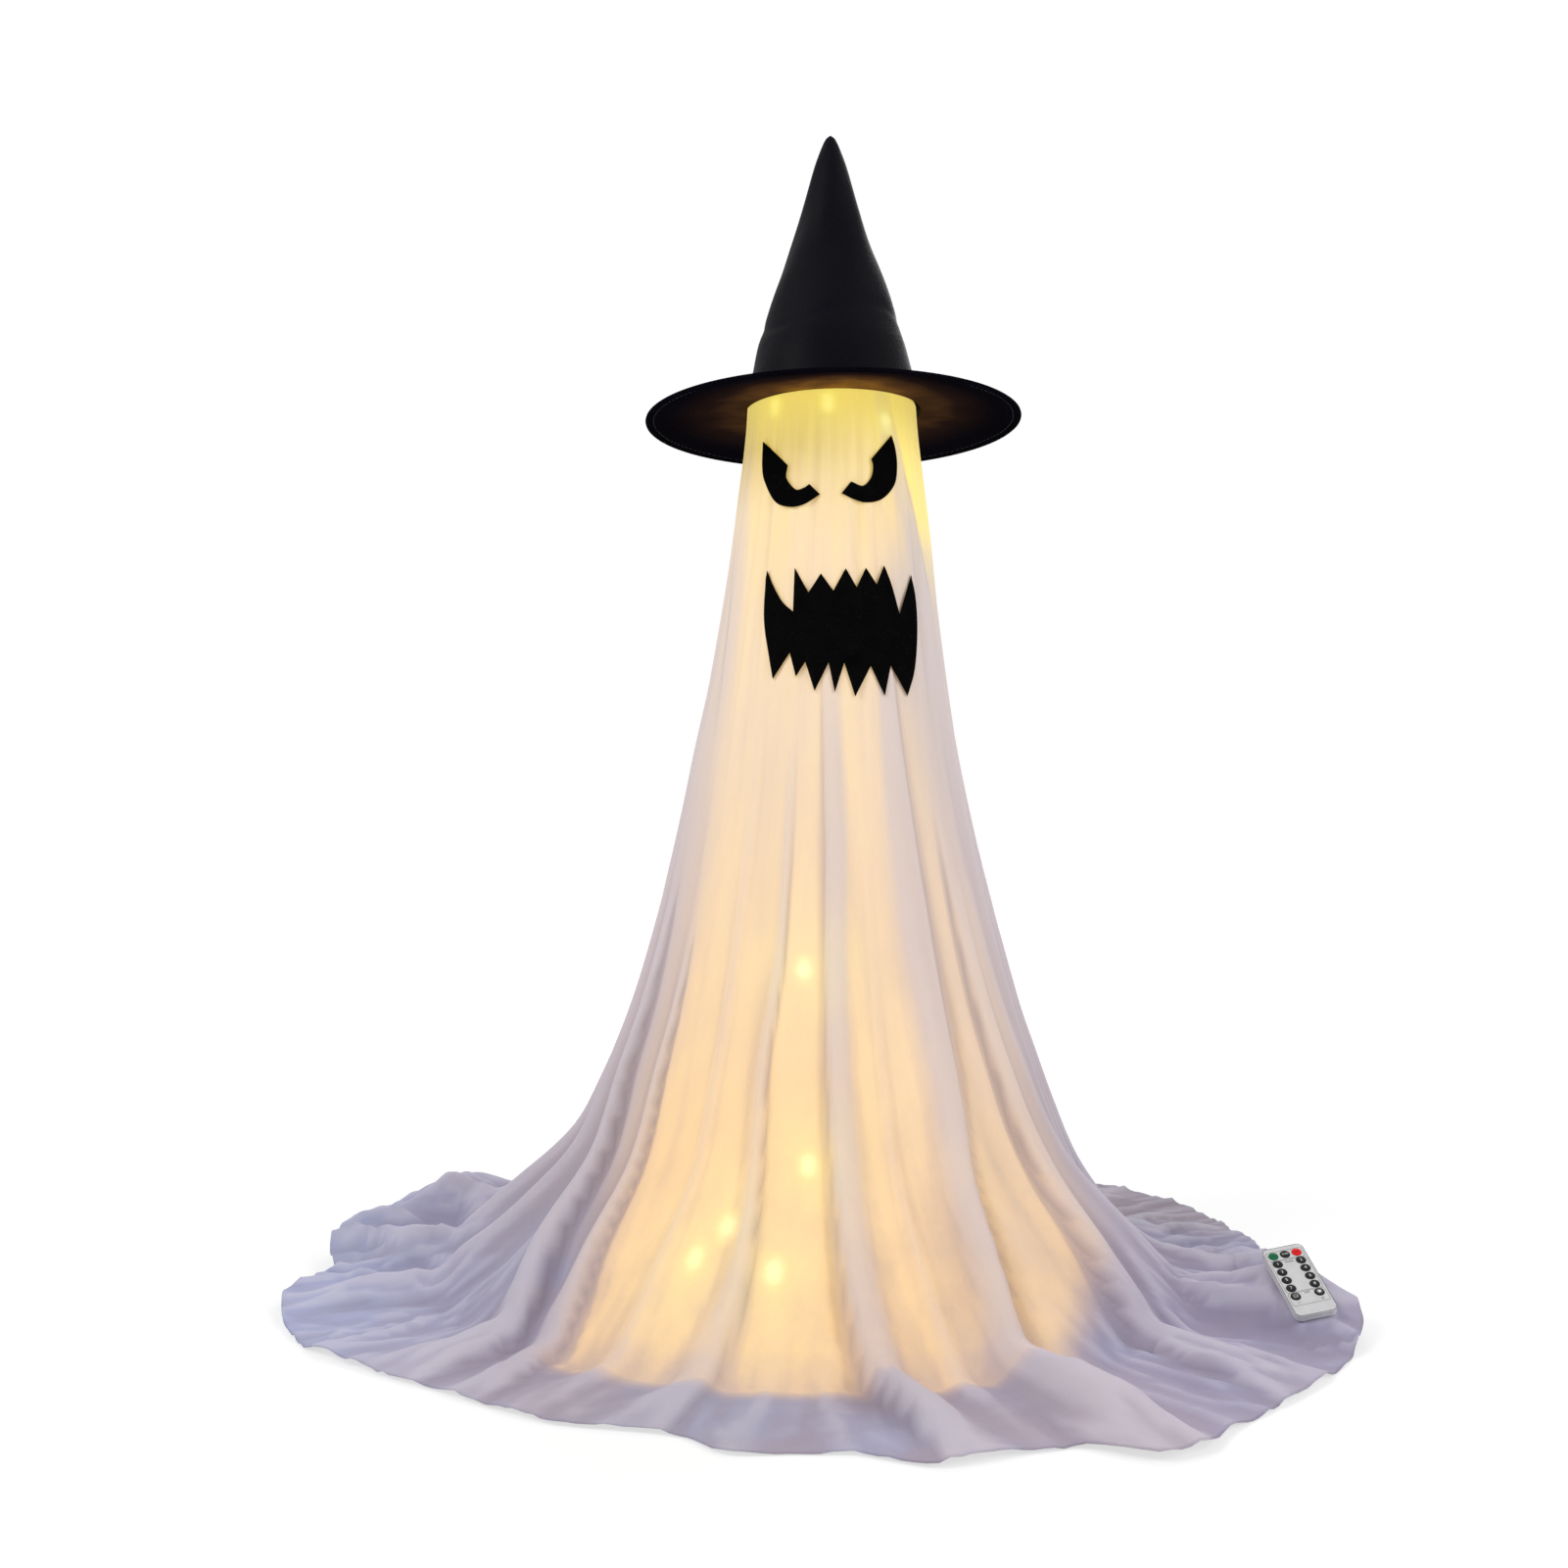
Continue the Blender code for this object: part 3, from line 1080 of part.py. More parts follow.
def make_card_inside(frame, board_low, board_top, nose, coin):
    """The board, and the tray that brings the coin cell out of the lower end."""
    inside = CARD_WALL + SEAT_GAP
    low = coin - nose / 2
    outline = rounded_outline(CARD_WIDTH - 2 * inside, low, CARD_LENGTH - inside, CARD_CORNER - inside)
    board = place("card_board", stacked_mesh("card_board", [(outline, board_low), (outline, board_top)]),
                  "circuit_board", frame)
    room = nose + SLIDE_GAP
    bite_profile = rod_profile(room, board_low - CUT_OVERRUN, board_top + CUT_OVERRUN)
    bite = turned_mesh("tray_room", bite_profile, COIN_STEPS)
    cut(board, place("tray_room", bite, None, frame, spot=(0, coin, 0)))
    way = box_mesh("tray_way", (-room, low - CUT_OVERRUN, board_low - CUT_OVERRUN),
                   (room, coin, board_top + CUT_OVERRUN))
    cut(board, place("tray_way", way, None, frame))
    floor = CARD_FLOOR + SLIDE_GAP
    top = CARD_SIDE_HEIGHT - SLIDE_GAP
    arc = [math.pi * step / TRAY_NOSE_STEPS for step in range(TRAY_NOSE_STEPS + 1)]
    outline = [(nose * math.cos(a), coin + nose * math.sin(a)) for a in arc]
    outline += [(-nose, 0), (nose, 0)]
    tray_body = stacked_mesh("cell_tray", [(outline, floor), (outline, top)])
    tray = place("cell_tray", tray_body, "card_grey", frame)
    pocket = rod_profile(COIN_RADIUS + SLIDE_GAP, floor + TRAY_FLOOR, top + CUT_OVERRUN)
    cut(tray, place("coin_pocket", turned_mesh("coin_pocket", pocket, COIN_STEPS), None, frame,
                    spot=(0, coin, 0)))
    seat = floor + TRAY_FLOOR + SEAT_GAP
    coin_profile = rod_profile(COIN_RADIUS, seat, seat + COIN_THICKNESS)
    coin_body = turned_mesh("coin_cell", coin_profile, COIN_STEPS)
    place("coin_cell", coin_body, "contact_metal", frame, spot=(0, coin, 0))


clear_scene()
make_base()
make_pole()
make_head_frame()
make_cloth()
make_face()
make_hat()
make_lights()
make_battery_box()
make_card_remote()
bpy.context.view_layer.update()
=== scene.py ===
# Standing ghost decoration: finishes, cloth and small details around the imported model.
# Metres, +Z up, the face looks along -Y. Angles round the drape run from the front towards +X.
import json
import math
import bpy
import numpy as np
from mathutils import Matrix, Vector, geometry, noise


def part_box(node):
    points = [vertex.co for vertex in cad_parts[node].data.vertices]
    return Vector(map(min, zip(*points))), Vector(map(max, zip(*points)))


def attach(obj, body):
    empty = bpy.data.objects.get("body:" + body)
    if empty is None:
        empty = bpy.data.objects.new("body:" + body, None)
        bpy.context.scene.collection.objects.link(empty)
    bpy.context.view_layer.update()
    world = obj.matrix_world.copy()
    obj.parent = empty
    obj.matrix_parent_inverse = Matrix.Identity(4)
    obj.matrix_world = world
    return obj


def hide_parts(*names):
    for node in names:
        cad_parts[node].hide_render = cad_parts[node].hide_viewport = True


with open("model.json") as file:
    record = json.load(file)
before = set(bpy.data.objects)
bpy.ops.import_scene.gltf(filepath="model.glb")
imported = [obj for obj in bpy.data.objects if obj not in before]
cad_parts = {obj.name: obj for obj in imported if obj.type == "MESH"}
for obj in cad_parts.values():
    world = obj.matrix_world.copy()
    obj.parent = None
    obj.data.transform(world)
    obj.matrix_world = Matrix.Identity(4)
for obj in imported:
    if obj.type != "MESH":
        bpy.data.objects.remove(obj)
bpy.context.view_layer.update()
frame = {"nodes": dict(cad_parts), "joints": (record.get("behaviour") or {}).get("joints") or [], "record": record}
nodes = frame["nodes"]
joints = {joint["name"]: joint for joint in frame["joints"]}
print("frame loaded:", len(nodes), "nodes")

viewCamera = {
    "place": (0.0, -1.798, 0.431),
    "lens": 39.1,                  # mm
    "sensor": 36.0,                # mm
    "shift": (-0.0303, 0.0515),    # the figure stands right of the middle, above a low horizon
}


def makeCamera():
    data = bpy.data.cameras.new("viewCamera")
    data.lens = viewCamera["lens"]
    data.sensor_width = viewCamera["sensor"]
    data.shift_x, data.shift_y = viewCamera["shift"]
    camera = bpy.data.objects.new("viewCamera", data)
    camera.location = viewCamera["place"]
    camera.rotation_euler = (math.pi / 2, 0.0, 0.0)
    bpy.context.scene.collection.objects.link(camera)
    bpy.context.scene.camera = camera


makeCamera()
print("camera placed")


# Node helpers
def newFinish(name, colour, roughness, metallic=0.0, specular=0.5):
    finish = bpy.data.materials.new(name)
    finish.use_nodes = True
    shader = finish.node_tree.nodes["Principled BSDF"]
    shader.inputs["Base Color"].default_value = (*colour, 1.0)
    shader.inputs["Roughness"].default_value = roughness
    shader.inputs["Metallic"].default_value = metallic
    shader.inputs["Specular IOR Level"].default_value = specular
    return finish, finish.node_tree, shader


def addSheen(shader, weight, roughness, tint=(1.0, 1.0, 1.0)):
    shader.inputs["Sheen Weight"].default_value = weight
    shader.inputs["Sheen Roughness"].default_value = roughness
    shader.inputs["Sheen Tint"].default_value = (*tint, 1.0)


def addNode(tree, kind, settings, sockets):
    # Settings are the node's own values; a socket's value is a number, a colour or another node's output
    node = tree.nodes.new("ShaderNode" + kind)
    for key, value in settings.items():
        setattr(node, key, value)
    for key, value in sockets.items():
        if isinstance(value, bpy.types.NodeSocket):
            tree.links.new(value, node.inputs[key])
        else:
            node.inputs[key].default_value = value
    return node


def objectSpot(tree, stretch=(1.0, 1.0, 1.0)):
    spot = addNode(tree, "TexCoord", {}, {}).outputs["Object"]
    return addNode(tree, "Mapping", {}, {"Vector": spot, "Scale": stretch}).outputs[0]


def noiseOf(tree, spot, scale, detail=3.0, roughness=0.5):
    sockets = {"Vector": spot, "Scale": scale, "Detail": detail, "Roughness": roughness}
    return addNode(tree, "TexNoise", {}, sockets).outputs["Fac"]


def stretchedNoise(tree, stretch, detail, roughness=0.5):
    return noiseOf(tree, objectSpot(tree, stretch), 1.0, detail, roughness)


def numberOf(tree, name):
    return addNode(tree, "Attribute", {"attribute_name": name}, {}).outputs["Fac"]


def rampOf(tree, value, stops):
    ramp = addNode(tree, "ValToRGB", {}, {"Fac": value})
    bar = ramp.color_ramp.elements
    bar[0].position, bar[0].color = stops[0][0], (*stops[0][1], 1.0)
    bar[1].position, bar[1].color = stops[-1][0], (*stops[-1][1], 1.0)
    for place, colour in stops[1:-1]:
        bar.new(place).color = (*colour, 1.0)
    return ramp.outputs["Color"]


def rangeOf(tree, value, low, high, newLow=0.0, newHigh=1.0):
    return addNode(tree, "MapRange", {}, {0: value, 1: low, 2: high, 3: newLow, 4: newHigh}).outputs[0]


def mathOf(tree, operation, first, second):
    return addNode(tree, "Math", {"operation": operation}, {0: first, 1: second}).outputs[0]


def timesOf(tree, first, second):
    return mathOf(tree, "MULTIPLY", first, second)


def mixOf(tree, share, first, second, blend="MIX"):
    def full(colour):
        return colour if isinstance(colour, bpy.types.NodeSocket) else (*colour, 1.0)
    settings = {"data_type": "RGBA", "blend_type": blend}
    return addNode(tree, "Mix", settings, {0: share, 6: full(first), 7: full(second)}).outputs[2]


def bumpOf(tree, shader, height, depth, strength=1.0, under=None):
    bump = addNode(tree, "Bump", {}, {"Height": height, "Distance": depth, "Strength": strength})
    if under is not None:
        tree.links.new(under, bump.inputs["Normal"])
    tree.links.new(bump.outputs[0], shader.inputs["Normal"])
    return bump.outputs[0]


# Room: a pale floor, an even sky and three soft lamps
room = {
    "skyStrength": 0.47,
    "floorSize": 30.0,
    "floorDrop": 0.0004,           # keeps the floor just under the object's foot
    "floorColour": (0.92, 0.92, 0.92),
    "floorWhite": 1.10,            # what the camera sees of the floor before shadows
    "floorWhiteShares": (0.60, 1.0),   # near the object, and from the whiter distance on
    "floorWhiteFrom": (0.75, 1.35),
    "lamps": (
        ("keyLamp", (-2.2, -1.4, 2.5), 1.5, 48.0),
        ("sideLamp", (2.3, -1.5, 1.6), 1.5, 30.0),
        ("backLamp", (0.6, 2.4, 2.2), 1.6, 34.0),
    ),
    "lampAim": (0.0, 0.0, 0.5),
}


def seenDirectly(tree):
    rays = addNode(tree, "LightPath", {}, {}).outputs
    both = mathOf(tree, "MAXIMUM", rays["Is Camera Ray"], rays["Is Glossy Ray"])
    return mathOf(tree, "MAXIMUM", both, rays["Is Transmission Ray"])


def makeSky():
    world = bpy.data.worlds.new("room")
    world.use_nodes = True
    tree = world.node_tree
    sky = tree.nodes["Background"]
    sky.inputs["Strength"].default_value = room["skyStrength"]
    sky.inputs["Color"].default_value = (1.0, 1.0, 1.0, 1.0)
    white = addNode(tree, "Background", {}, {"Color": (1.0, 1.0, 1.0, 1.0), "Strength": 1.0})
    sockets = {0: seenDirectly(tree), 1: sky.outputs[0], 2: white.outputs[0]}
    mixed = addNode(tree, "MixShader", {}, sockets)
    tree.links.new(mixed.outputs[0], tree.nodes["World Output"].inputs["Surface"])
    bpy.context.scene.world = world


def makeFloor():
    half = room["floorSize"] / 2
    mesh = bpy.data.meshes.new("floor")
    corners = [(-half, -half, 0), (half, -half, 0), (half, half, 0), (-half, half, 0)]
    mesh.from_pydata(corners, [], [(0, 1, 2, 3)])
    floor = bpy.data.objects.new("floor", mesh)
    floor.location.z = -room["floorDrop"]
    bpy.context.scene.collection.objects.link(floor)
    finish = bpy.data.materials.new("floorFinish")
    finish.use_nodes = True
    tree = finish.node_tree
    tree.nodes.remove(tree.nodes["Principled BSDF"])
    matt = addNode(tree, "BsdfDiffuse", {}, {"Color": (*room["floorColour"], 1.0)})
    bright = addNode(tree, "Emission", {}, {"Strength": room["floorWhite"]})
    away = addNode(tree, "VectorMath", {"operation": "LENGTH"}, {0: objectSpot(tree)}).outputs["Value"]
    whiter = rangeOf(tree, away, *room["floorWhiteFrom"], *room["floorWhiteShares"])
    share = timesOf(tree, seenDirectly(tree), whiter)
    mixed = addNode(tree, "MixShader", {}, {0: share, 1: matt.outputs[0], 2: bright.outputs[0]})
    tree.links.new(mixed.outputs[0], tree.nodes["Material Output"].inputs["Surface"])
    mesh.materials.append(finish)


def makeLamps():
    for name, place, size, power in room["lamps"]:
        lamp = bpy.data.lights.new(name, "AREA")
        lamp.size = size
        lamp.energy = power
        holder = bpy.data.objects.new(name, lamp)
        holder.location = place
        towards = Vector(room["lampAim"]) - Vector(place)
        holder.rotation_euler = towards.to_track_quat("-Z", "Y").to_euler()
        bpy.context.scene.collection.objects.link(holder)


makeSky()
makeFloor()
makeLamps()
bpy.context.scene.view_settings.view_transform = "Standard"
print("floor, sky and lamps made")


# Mesh helpers
def smoothStep(value):
    value = np.clip(value, 0.0, 1.0)
    return value * value * (3.0 - 2.0 * value)


def ease(value, start, span):
    # From 0 at the start to 1 a span further on; with a negative span it runs the other way
    return smoothStep((value - start) / span)


def between(value, start, startSpan, end, endSpan):
    return ease(value, start, startSpan) * ease(value, end, -endSpan)


def bell(value, middle, half):
    return np.exp(-((value - middle) / half) ** 2)


def angleGap(angle, middle):
    return (angle - middle + 180.0) % 360.0 - 180.0


def bellRound(degrees, middle, half):
    return bell(angleGap(degrees, middle), 0.0, half)


def plainTable(value, rows, column=1):
    # A column of the table, read at the place that its first column gives
    return np.interp(value, [row[0] for row in rows], [row[column] for row in rows])


tableRounding = {
    "reach": 0.016,                # metres up or down
    "middleShare": 0.4,
    "sideShares": ((-1.0, 0.2), (1.0, 0.2), (-2.0, 0.1), (2.0, 0.1)),    # in reaches
}


def softTable(value, rows, column=1):
    # The same with the table's corners rounded off
    total = plainTable(value, rows, column) * tableRounding["middleShare"]
    for step, share in tableRounding["sideShares"]:
        total = total + share * plainTable(value + step * tableRounding["reach"], rows, column)
    return total


def addPiece(name, points, faces, finish, body, smooth=True):
    mesh = bpy.data.meshes.new(name)
    mesh.from_pydata([tuple(point) for point in points], [], faces)
    mesh.validate()
    mesh.materials.append(finish)
    if smooth:
        mesh.shade_smooth()
    piece = bpy.data.objects.new(name, mesh)
    bpy.context.scene.collection.objects.link(piece)
    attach(piece, body)
    return piece


def gridFaces(rows, columns, start=0, closedRows=False):
    # Quads between rings of points, each ring closed on itself
    faces = []
    for row in range(rows if closedRows else rows - 1):
        low = start + row * columns
        high = start + ((row + 1) % rows) * columns
        for column in range(columns):
            after = (column + 1) % columns
            faces.append((low + column, high + column, high + after, low + after))
    return faces


def setNumbers(mesh, name, values):
    layer = mesh.attributes.new(name, "FLOAT", "POINT")
    layer.data.foreach_set("value", np.asarray(values, np.float32).ravel())


def curveThrough(knots, steps):
    # A smooth line through the knots, with the given number of steps between each two
    knots = np.array(knots, float)
    ends = [2 * knots[0] - knots[1], 2 * knots[-1] - knots[-2]]
    held = np.vstack([ends[0], knots, ends[1]])
    line = []
    for before, start, end, after in zip(held, held[1:], held[2:], held[3:]):
        for part in np.arange(steps) / steps:
            line.append(0.5 * (
                2 * start + (end - before) * part + (2 * before - 5 * start + 4 * end - after) * part ** 2
                + (3 * start - before - 3 * end + after) * part ** 3
            ))
    line.append(knots[-1])
    return np.array(line)


# The card remote's own directions, read from how its tray and buttons move
cardUp = -Vector(joints["button_on_press"]["axis"]).normalized()
cardAlong = -Vector(joints["tray_slide"]["axis"]).normalized()
cardAcross = cardAlong.cross(cardUp)


def reachOf(node, direction):
    values = [vertex.co.dot(direction) for vertex in nodes[node].data.vertices]
    return min(values), max(values)


cardSides = reachOf("card_back", cardAcross)
cardEnds = reachOf("card_back", cardAlong)
cardBack = reachOf("card_back", cardUp)[0]
cardFace = reachOf("card_face", cardUp)[1]


# Ghost cloth. Heights are above the floor; past the foot the way out over the floor counts as minus
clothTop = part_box("ghost_cloth")[1].z
ghostCloth = {
    "columns": 432,
    "headRows": 9,
    "cornerRows": 8,
    "sideRows": 112,
    "hemRows": 44,
    "thickness": 0.0011,
    "headRadius": 0.0893,
    "headCorner": 0.0140,
    "headMiddleShare": 0.06,       # the innermost ring on the head's flat top
    "footRadius": 0.420,
    "hemRadius": 0.550,
    "floorClear": 0.0012,
    "topSlope": (0.06, -1.0),      # out and up where the side starts under the head's corner
    "uprightBelow": 0.05,          # close to the floor the folds stand up rather than out
    "hemSteps": 1521,
    "hemRounding": 13,             # steps over which the hem's outline is rounded
    "hemCalm": (0.40, 0.60),       # from this share of the hem on, and over what share, folds run out
    "hemCalmShare": 0.72,
    "flat": (3.45, 1.24),          # the sheet before it was hung
    # height as a share of the head's height, and spread as a share of the way out to the foot
    "sideShares": (
        (0.867, 0.038), (0.753, 0.080), (0.639, 0.126), (0.455, 0.222), (0.271, 0.372),
        (0.157, 0.515), (0.087, 0.704), (0.033, 0.860),
    ),
    # degrees round the drape, and the hem's radius there as a share
    "hemShares": (
        (-178, 1.00), (-165, 0.985), (-152, 1.02), (-138, 0.99), (-126, 1.02), (-114, 0.99), (-100, 0.995),
        (-92, 0.975), (-86, 0.925), (-82, 0.965), (-77, 1.005), (-68, 1.005), (-58, 0.995), (-50, 0.965),
        (-39, 0.942), (-30, 0.955), (-24, 0.971), (-16, 0.958), (-12, 0.962), (-8, 1.025), (-3, 1.010),
        (2, 1.010), (7.5, 1.072), (14, 1.040), (19, 1.035), (22.5, 1.130), (27, 1.120), (31, 1.070),
        (38, 1.040), (46, 1.020), (54, 1.005), (62, 0.993), (70, 0.950), (84, 0.895), (100, 0.880),
        (110, 0.900), (120, 0.965), (128, 1.015), (136, 1.060), (143, 1.090), (151, 1.075), (160, 1.035),
        (170, 0.990),
    ),
    # height, and how far the right and the left side hang out of the plain drape there
    "sideShift": (
        (0.0, 0.0, 0.0), (0.03, -0.034, 0.0), (0.083, -0.042, -0.008), (0.114, -0.030, -0.006),
        (0.145, -0.019, -0.005), (0.176, -0.0135, 0.0), (0.207, -0.0125, 0.002), (0.27, -0.0095, 0.003),
        (0.33, -0.0058, 0.005), (0.42, -0.0050, 0.008), (0.55, -0.0050, 0.008), (0.61, -0.0040, 0.004),
        (0.70, -0.0030, 0.001), (0.76, 0.0, 0.0),
    ),
    # degrees where each side starts, over how many it eases in, where it ends, over how many it eases out
    "rightSide": (64.0, 16.0, 136.0, 26.0),
    "leftSide": (-140.0, 26.0, -52.0, 22.0),
    # swell low on the left: middle, half width in degrees, then height and depth
    "flank": (-107.0, 20.0),
    "flankSwell": ((0.0, 0.012), (0.06, 0.028), (0.11, 0.021), (0.17, 0.009), (0.26, 0.0)),
}

# Folds pressed to one side. Each row: height; left and right edge in degrees; how far it stands out
laidFolds = (
    {"edge": "right", "shade": 0.70, "path": (
        (0.560, 52.0, 66.0, 0.0000), (0.660, 50.0, 66.0, 0.0014), (0.750, 44.0, 59.0, 0.0020),
        (0.830, 35.0, 50.0, 0.0020), (0.905, 27.0, 39.0, 0.0012), (0.925, 25.0, 37.0, 0.0000))},
    {"edge": "soft", "shade": 0.30, "path": (
        (0.600, 6.0, 16.0, 0.0000), (0.720, 7.0, 15.0, 0.0010), (0.860, 9.0, 15.0, 0.0008),
        (0.920, 10.0, 15.0, 0.0000))},
    {"edge": "left", "shade": 0.45, "path": (
        (0.520, -58.0, -47.0, 0.0000), (0.650, -62.0, -50.0, 0.0016), (0.780, -68.0, -54.0, 0.0018),
        (0.880, -76.0, -58.0, 0.0010), (0.925, -80.0, -60.0, 0.0000))},
    {"edge": "left", "shade": 0.62, "path": (
        (0.720, -6.0, 1.0, 0.0000), (0.600, -3.8, 4.0, 0.0016), (0.460, -2.1, 6.4, 0.0032),
        (0.330, -1.7, 5.2, 0.0045), (0.234, -0.9, 5.7, 0.0060), (0.150, 0.2, 6.6, 0.0080),
        (0.078, 1.6, 7.2, 0.0120), (0.026, 2.8, 8.4, 0.0170), (-0.035, 5.4, 10.8, 0.0190),
        (-0.090, 7.0, 12.4, 0.0170), (-0.160, 7.6, 13.4, 0.0110))},
    {"edge": "right", "shade": 0.62, "path": (
        (0.700, 22.0, 28.0, 0.0000), (0.590, 21.0, 29.4, 0.0026), (0.460, 19.4, 31.8, 0.0045),
        (0.370, 20.2, 32.9, 0.0060), (0.280, 22.0, 33.2, 0.0080), (0.190, 23.2, 31.6, 0.0100),
        (0.109, 21.2, 27.4, 0.0140), (0.050, 20.2, 25.2, 0.0180), (0.010, 19.2, 25.0, 0.0220),
        (-0.080, 19.0, 26.5, 0.0250), (-0.200, 19.5, 27.5, 0.0200))},
    {"edge": "right", "shade": 0.40, "path": (
        (0.560, -17.6, -15.0, 0.0000), (0.460, -17.6, -14.8, 0.0022), (0.350, -17.0, -14.2, 0.0034),
        (0.250, -19.6, -16.4, 0.0045), (0.178, -18.6, -15.4, 0.0055), (0.133, -17.4, -14.2, 0.0065),
        (0.083, -16.0, -12.8, 0.0080), (0.050, -16.6, -12.8, 0.0080), (0.014, -18.6, -13.6, 0.0070),
        (-0.050, -20.0, -13.5, 0.0080), (-0.130, -20.5, -13.5, 0.0060))},
    {"edge": "right", "shade": 0.50, "path": (
        (0.420, -72.0, -66.0, 0.0000), (0.300, -71.0, -64.0, 0.0060), (0.218, -69.0, -62.5, 0.0100),
        (0.131, -61.5, -55.5, 0.0130), (0.075, -57.5, -51.0, 0.0150), (0.004, -50.0, -42.5, 0.0150),
        (-0.080, -50.0, -41.0, 0.0100), (-0.150, -51.0, -41.0, 0.0050))},
    {"edge": "right", "shade": 0.42, "path": (
        (0.380, -55.0, -51.0, 0.0000), (0.213, -51.5, -47.5, 0.0070), (0.117, -47.0, -43.0, 0.0095),
        (0.065, -44.0, -40.0, 0.0105), (0.020, -42.5, -36.5, 0.0110), (-0.050, -40.0, -33.0, 0.0070),
        (-0.120, -38.0, -32.0, 0.0040))},
    {"edge": "left", "shade": 0.30, "path": (
        (0.520, 43.0, 50.0, 0.0000), (0.380, 44.0, 51.0, 0.0035), (0.250, 45.5, 52.0, 0.0070),
        (0.150, 47.0, 54.0, 0.0100), (0.060, 45.0, 51.0, 0.0130), (0.010, 42.0, 49.0, 0.0150),
        (-0.080, 40.0, 48.0, 0.0120), (-0.180, 39.0, 47.5, 0.0080))},
    {"edge": "soft", "shade": 0.25, "path": (
        (0.640, -36.0, -29.0, 0.0000), (0.460, -34.0, -28.0, 0.0018), (0.300, -32.5, -27.5, 0.0030),
        (0.180, -31.0, -27.0, 0.0030), (0.090, -29.5, -26.0, 0.0040), (0.020, -29.5, -24.5, 0.0060),
        (-0.060, -30.0, -24.0, 0.0040), (-0.120, -30.0, -25.0, 0.0020))},
    {"edge": "soft", "shade": 0.20, "path": (
        (0.500, 10.5, 15.0, 0.0000), (0.330, 10.5, 14.5, 0.0016), (0.180, 11.5, 14.5, 0.0024),
        (0.060, 12.5, 16.0, 0.0050), (0.005, 12.5, 17.5, 0.0060), (-0.100, 13.5, 18.0, 0.0030))},
)
# Section of a laid fold, in shares of its width from the laid edge: start and span, middle and half width
laidSection = {
    "rise": (-0.10, 0.26), "fall": (0.45, 0.75), "dip": (-0.22, 0.16), "dipShare": 0.30,
    "bandRise": (-0.04, 0.12), "bandFall": (0.70, 0.45), "crease": (-0.06, 0.10), "creaseShare": 0.55,
    "fullHeight": 0.0025, "softFullHeight": 0.003,    # a fold at least this high has its full shade
    "swell": 1.15,
}
# Softer folds round the sides and the back: middle, half width in degrees, rise at the foot, drift, shade
roundFolds = (
    (-92, 4.2, 0.0150, 3.0, 0.45), (-76, 3.8, 0.0140, -3.0, 0.40), (88, 4.2, 0.0150, 4.0, 0.45),
    (111, 3.8, 0.0135, -3.0, 0.45), (135, 4.4, 0.0160, 3.5, 0.50), (158, 3.8, 0.0140, -2.5, 0.45),
    (-178, 4.4, 0.0150, 2.0, 0.50), (-152, 4.0, 0.0150, -3.5, 0.50), (-122, 4.4, 0.0160, 3.0, 0.50),
    (147, 2.6, 0.0070, 2.0, 0.30), (-165, 2.4, 0.0060, -2.0, 0.30), (-137, 2.6, 0.0070, 2.0, 0.30),
    (-107, 2.6, 0.0080, -2.0, 0.30), (100, 2.4, 0.0070, 2.0, 0.30), (123, 2.4, 0.0070, -2.0, 0.30),
    (76, 2.4, 0.0060, 3.0, 0.25), (170, 2.2, 0.0050, 2.0, 0.25),
)
roundSection = {
    "growth": (                    # height, and how much of a fold's rise it has there
        (-0.14, 0.35), (-0.06, 0.75), (0.0, 1.15), (0.05, 1.10), (0.15, 0.85), (0.30, 0.50), (0.45, 0.25),
        (0.62, 0.0),
    ),
    "drift": 7.0,                  # radians of its wander for each metre down
    "narrow": 1.6,
    "shade": 0.6,
    "shadeGrowth": 1.6,
}
# Small pleats gathered under the hat's brim. Waves: count round, start, share
gather = {
    "depth": ((0.20, 0.0), (0.45, 0.0010), (0.62, 0.0020), (0.78, 0.0028), (0.88, 0.0022), (0.905, 0.0010),
              (0.915, 0.0)),
    "slant": 9.0,                  # degrees round for each metre down
    "slantFrom": 0.92,
    "waves": ((29, 0.4, 0.55), (41, 2.1, 0.35), (17, 4.0, 0.30)),
    "fineWaves": ((67, 1.0, 0.5), (88, 3.0, 0.35)),
    "fineSlantShare": 0.6,
    "fineShare": 0.25,
}
# Broad slack between the folds, less of it at the front
slack = {
    "depth": ((-0.05, 0.0), (0.02, 0.0040), (0.12, 0.0050), (0.30, 0.0032), (0.50, 0.0014), (0.62, 0.0)),
    "frontShare": 0.60,
    "frontHalf": 38.0,
    "slant": 30.0,
    "waves": ((13, 0.7, 0.5), (21, 2.9, 0.35), (34, 5.1, 0.25)),
}


